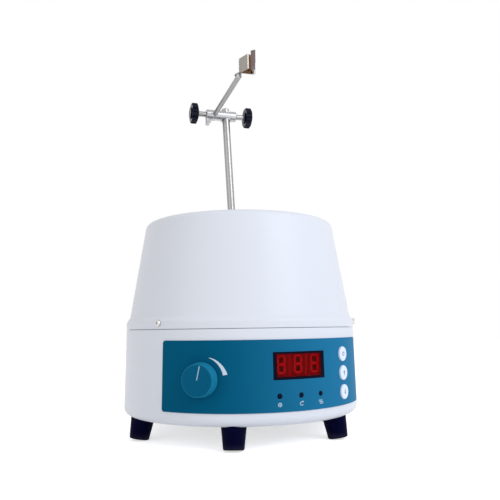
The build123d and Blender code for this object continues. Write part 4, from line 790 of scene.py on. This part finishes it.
def weave_bowl(cloth):
    """Woven bowl: up the inside, over the rolled rim on the deck and down the outside."""
    quarter = math.pi / 2
    section = [on_bowl(BOWL_RADIUS, quarter * step / INSIDE_STEPS) for step in range(INSIDE_STEPS + 1)]
    half = (DECK_HOLE + RIM_WIDTH - BOWL_RADIUS) / 2
    for step in range(RIM_STEPS + 1):
        turn = math.pi * step / RIM_STEPS
        rim = (BOWL_RADIUS + half - half * math.cos(turn), 0.0, DECK_HEIGHT + RIM_HEIGHT * math.sin(turn))
        section.append(Vector(rim))
    outside = BOWL_RADIUS + BOWL_WALL
    section.append(Vector((outside, 0.0, DECK_HEIGHT)))
    section += [on_bowl(outside, quarter * step / OUTSIDE_STEPS) for step in range(OUTSIDE_STEPS, -1, -1)]
    bm = bmesh.new()
    verts = [bm.verts.new(point) for point in section]
    edges = [bm.edges.new(pair) for pair in zip(verts, verts[1:])]
    bmesh.ops.spin(
        bm, geom=verts + edges, cent=(0, 0, 0), axis=(0, 0, 1),
        angle=2 * math.pi, steps=BOWL_STEPS, use_merge=True,
    )
    bowl = piece("woven_bowl", bm, cloth, "mantle")
    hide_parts("heating_bowl")


def sew_heater(settings, yarn):
    """Rows of heating cord round the inside of the bowl, with the stitches that hold them."""
    lie = BOWL_RADIUS + CORD_RADIUS - settings.cord
    turn = 2 * math.pi
    cords, stitches = bmesh.new(), bmesh.new()
    for row in range(settings.rows):
        slope = math.radians(HEATER_FROM + (HEATER_TO - HEATER_FROM) * row / (settings.rows - 1))
        middle = on_bowl(lie, slope)
        cord = add_loop(cords, middle.x, CORD_RADIUS, turn, 96, 8)
        bmesh.ops.translate(cords, verts=verts_in(cord), vec=(0, 0, middle.z))

        stitch = add_loop(stitches, CORD_RADIUS + STITCH_RADIUS, STITCH_RADIUS, turn / 2, 6, 5)
        upwards = Vector((math.cos(slope), 0, math.sin(slope)))
        inwards = Vector((-math.sin(slope), 0, math.cos(slope)))
        place = Matrix((upwards, inwards, upwards.cross(inwards))).transposed().to_4x4()
        place = Matrix.Translation(middle) @ place
        bmesh.ops.transform(stitches, matrix=place, verts=verts_in(stitch))
        count = round(turn * middle.x / STITCH_PITCH)
        bmesh.ops.spin(
            stitches, geom=stitch, cent=(0, 0, 0), axis=(0, 0, 1),
            angle=turn * (count - 1) / count, steps=count - 1, use_duplicate=True,
        )
    piece("heater_cord", cords, yarn, "mantle")
    piece("heater_stitches", stitches, yarn, "mantle")


class MANTLE_OT_bowl(Operator):
    """Weave the heating bowl and finish what lies under it"""

    bl_idname = "mantle.bowl"
    bl_label = "Heating bowl"

    def execute(self, context):
        settings = context.scene.mantle_bowl
        cloth = woven_glass(settings)
        dress(cloth, "heating_bowl")
        weave_bowl(cloth)
        sew_heater(settings, plastic("glass_yarn", settings.yarn, 0.8, 2500.0, 0.6, specular=0.2))
        dress(plastic("mineral_wool", (0.55, 0.46, 0.26), 0.95, 300.0, 0.9), "insulation")
        dress(metal("spun_steel", (0.60, 0.60, 0.60), 0.33, (6.0, 6.0, 1.0)), "heat_shield")
        dress(plastic("cutout_case", (0.03, 0.03, 0.032), 0.45), "thermal_cutout")
        return {"FINISHED"}


# ---------------------------------------------------------------- works inside the base
class MANTLE_OT_works(Operator):
    """Finish the stirrer and the circuits inside the closed base"""

    bl_idname = "mantle.works"
    bl_label = "Stirrer and circuits"

    def execute(self, context):
        dress(plastic("motor_paint", (0.06, 0.06, 0.07), 0.4), "stirrer_motor")
        dress(metal("bracket_zinc", (0.60, 0.58, 0.50), 0.36), "motor_bracket", "motor_screws", "socket_nut")
        dress(metal("ground_steel", (0.60, 0.60, 0.60), 0.2), "motor_shaft")
        dress(plastic("holder_nylon", (0.03, 0.03, 0.03), 0.5), "magnet_holder")
        dress(metal("magnet_nickel", (0.48, 0.47, 0.45), 0.25), "stirrer_magnets")
        board = plastic("board_green", (0.012, 0.10, 0.035), 0.3)
        dress(board, "control_board", "button_board", "power_board")
        dress(plastic("core_lacquer", (0.05, 0.04, 0.035), 0.5), "transformer")
        dress(metal("sink_aluminium", (0.55, 0.56, 0.57), 0.4), "heat_sink")
        return {"FINISHED"}


# ---------------------------------------------------------------- rear panel
class MANTLE_OT_rear(Operator):
    """Finish the appliance inlet, the switch and the probe jack"""

    bl_idname = "mantle.rear"
    bl_label = "Rear panel"

    def execute(self, context):
        black = plastic("inlet_plastic", (0.018, 0.018, 0.02), 0.42)
        dress(black, "mains_inlet", "fuse_drawer", "switch_frame")
        dress(plastic("rocker_plastic", (0.012, 0.012, 0.014), 0.28, coat=0.2), "rocker")
        dress(metal("pin_brass", (0.62, 0.47, 0.20), 0.25), "inlet_pins")
        dress(metal("jack_nickel", (0.58, 0.57, 0.55), 0.24), "sensor_jack")
        dress(plastic("fuse_glass", (0.55, 0.60, 0.60), 0.08), "fuse")
        return {"FINISHED"}


# ---------------------------------------------------------------- rod, boss head and clip
class MANTLE_OT_rod(Operator):
    """Finish the support rod and the bush that holds it"""

    bl_idname = "mantle.rod"
    bl_label = "Support rod"

    def execute(self, context):
        settings = context.scene.mantle_metal
        dress(metal("rod_steel", settings.steel, 0.36, (1.0, 1.0, 12.0), line_depth=0.05), "support_rod")
        dress(metal("bush_plating", (0.58, 0.57, 0.56), 0.22), "rod_socket")
        return {"FINISHED"}


class MANTLE_OT_boss(Operator):
    """Finish the boss head, its screws and the star knobs"""

    bl_idname = "mantle.boss"
    bl_label = "Boss head"

    def execute(self, context):
        settings = context.scene.mantle_metal
        dress(metal("cast_plating", settings.cast, 0.3), "boss_head")
        dress(metal("stud_steel", settings.steel, 0.25, (12.0, 1.0, 1.0)), "arm_clamp_stud", "rod_clamp_stud")
        star = plastic("star_plastic", settings.star, 0.22, 700.0, 0.05, specular=0.12)
        dress(star, "arm_clamp_knob", "rod_clamp_knob")
        return {"FINISHED"}


class MANTLE_OT_clip(Operator):
    """Finish the arm and the cork-lined clip at its end"""

    bl_idname = "mantle.clip"
    bl_label = "Arm and clip"

    def execute(self, context):
        settings = context.scene.mantle_metal
        dress(metal("arm_steel", settings.steel, 0.36, (1.0, 12.0, 1.0), line_depth=0.05), "clamp_arm")
        dress(metal("jaw_steel", settings.jaw, 0.4), "fixed_jaw")
        # painted shade: the moving jaw gets a darker copy of the jaw steel
        dress(metal("shaded_lever_steel", settings.shaded_lever, 0.42), "moving_jaw")
        cork = plastic("cork", settings.cork, 0.85, 1500.0, 0.8, specular=0.1)
        dress(cork, "fixed_pad", "moving_pad")
        dress(metal("clip_plating", (0.55, 0.54, 0.53), 0.25), "clip_pin", "clip_spring", "clip_screw")
        return {"FINISHED"}


# ---------------------------------------------------------------- studio
def seen_directly(tree):
    """1 where the camera, a gloss or a clear part looks at the surface, else 0."""
    rays = add_node(tree, "ShaderNodeLightPath")
    seen = math_node(tree, "MAXIMUM", rays.outputs["Is Camera Ray"], rays.outputs["Is Glossy Ray"])
    return math_node(tree, "MAXIMUM", seen, rays.outputs["Is Transmission Ray"])


def white_floor():
    """Pale floor that keeps a soft shadow and shows white to the camera."""
    material, tree, shader = finish("studio_floor", (0.93, 0.93, 0.93), 0.9)
    shader.inputs["Specular IOR Level"].default_value = 0.0
    shader.inputs["Emission Color"].default_value = (1.0, 1.0, 1.0, 1.0)
    join(tree, math_node(tree, "MULTIPLY", seen_directly(tree), 0.60), shader.inputs["Emission Strength"])
    bm = bmesh.new()
    bmesh.ops.create_grid(bm, x_segments=1, y_segments=1, size=FLOOR_HALF_WIDTH)
    mesh = bpy.data.meshes.new("floor")
    bm.to_mesh(mesh)
    bm.free()
    mesh.materials.append(material)
    floor = bpy.data.objects.new("floor", mesh)
    bpy.context.scene.collection.objects.link(floor)


def white_sky(strength):
    """Even light all round, white where the camera, a gloss or a clear part looks at it."""
    world = bpy.data.worlds.new("studio_sky")
    bpy.context.scene.world = world
    world.use_nodes = True
    tree = world.node_tree
    sky = tree.nodes["Background"]
    sky.inputs["Color"].default_value = (1.0, 1.0, 1.0, 1.0)
    seen = seen_directly(tree)
    rest = math_node(tree, "MULTIPLY", math_node(tree, "SUBTRACT", 1.0, seen), strength)
    join(tree, math_node(tree, "ADD", seen, rest), sky.inputs["Strength"])


def softbox(name, place, size, power, tone=(1.0, 1.0, 1.0)):
    """Large square lamp aimed at the middle of the object."""
    light = bpy.data.lights.new(name, "AREA")
    light.size = size
    light.energy = power
    light.color = tone
    lamp = bpy.data.objects.new(name, light)
    lamp.location = place
    aim = Vector(LIGHT_TARGET) - Vector(place)
    lamp.rotation_euler = aim.to_track_quat("-Z", "Y").to_euler()
    bpy.context.scene.collection.objects.link(lamp)


class MANTLE_OT_studio(Operator):
    """Set the camera, the pale floor and the soft light"""

    bl_idname = "mantle.studio"
    bl_label = "Studio"

    def execute(self, context):
        settings = context.scene.mantle_studio
        camera = bpy.data.cameras.new("camera")
        camera.lens = settings.lens
        camera.clip_start = 0.01
        seat = bpy.data.objects.new("camera", camera)
        seat.matrix_world = (
            Matrix.Translation((0, -settings.distance, settings.height))
            @ Matrix.Rotation(-settings.yaw, 4, "Z")
            @ Matrix.Rotation(math.pi / 2 + settings.pitch, 4, "X")
            @ Matrix.Rotation(settings.roll, 4, "Z")
        )
        context.scene.collection.objects.link(seat)
        context.scene.camera = seat
        white_floor()
        white_sky(settings.sky)
        softbox("key_light", KEY_LIGHT_PLACE, KEY_LIGHT_SIZE, settings.key, KEY_LIGHT_TONE)
        softbox("fill_light", FILL_LIGHT_PLACE, FILL_LIGHT_SIZE, settings.key * FILL_LIGHT_SHARE)
        context.scene.view_settings.view_transform = "Standard"
        return {"FINISHED"}


# ---------------------------------------------------------------- sidebar and registration
SETTINGS = {
    "mantle_shell": ShellSettings,
    "mantle_panel": PanelSettings,
    "mantle_knob": KnobSettings,
    "mantle_bowl": BowlSettings,
    "mantle_metal": MetalSettings,
    "mantle_studio": StudioSettings,
}

STEPS = (
    MANTLE_OT_studio,
    MANTLE_OT_shells,
    MANTLE_OT_feet,
    MANTLE_OT_panel,
    MANTLE_OT_display,
    MANTLE_OT_keys,
    MANTLE_OT_knob,
    MANTLE_OT_bowl,
    MANTLE_OT_works,
    MANTLE_OT_rear,
    MANTLE_OT_rod,
    MANTLE_OT_boss,
    MANTLE_OT_clip,
)


class MANTLE_PT_sidebar(Panel):
    """Settings and steps of the heating mantle"""

    bl_idname = "MANTLE_PT_sidebar"
    bl_label = "Heating Mantle"
    bl_space_type = "VIEW_3D"
    bl_region_type = "UI"
    bl_category = "Mantle"

    def draw(self, context):
        for name, group in SETTINGS.items():
            box = self.layout.box()
            box.label(text=group.__name__)
            settings = getattr(context.scene, name)
            for field in group.__annotations__:
                box.prop(settings, field)
        for step in STEPS:
            self.layout.operator(step.bl_idname)


CLASSES = (*SETTINGS.values(), *STEPS, MANTLE_PT_sidebar)


def register():
    for item in CLASSES:
        bpy.utils.register_class(item)
    for name, group in SETTINGS.items():
        setattr(bpy.types.Scene, name, PointerProperty(type=group))


def unregister():
    for name in SETTINGS:
        delattr(bpy.types.Scene, name)
    for item in reversed(CLASSES):
        bpy.utils.unregister_class(item)


def build_shared_effects():
    build_moulded_skin()
    build_drawn_lines()
    build_settled_dust()


def main():
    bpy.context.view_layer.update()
    register()
    build_shared_effects()
    for step in STEPS:
        group, name = step.bl_idname.split(".")
        getattr(getattr(bpy.ops, group), name)()


if __name__ == "__main__":
    main()
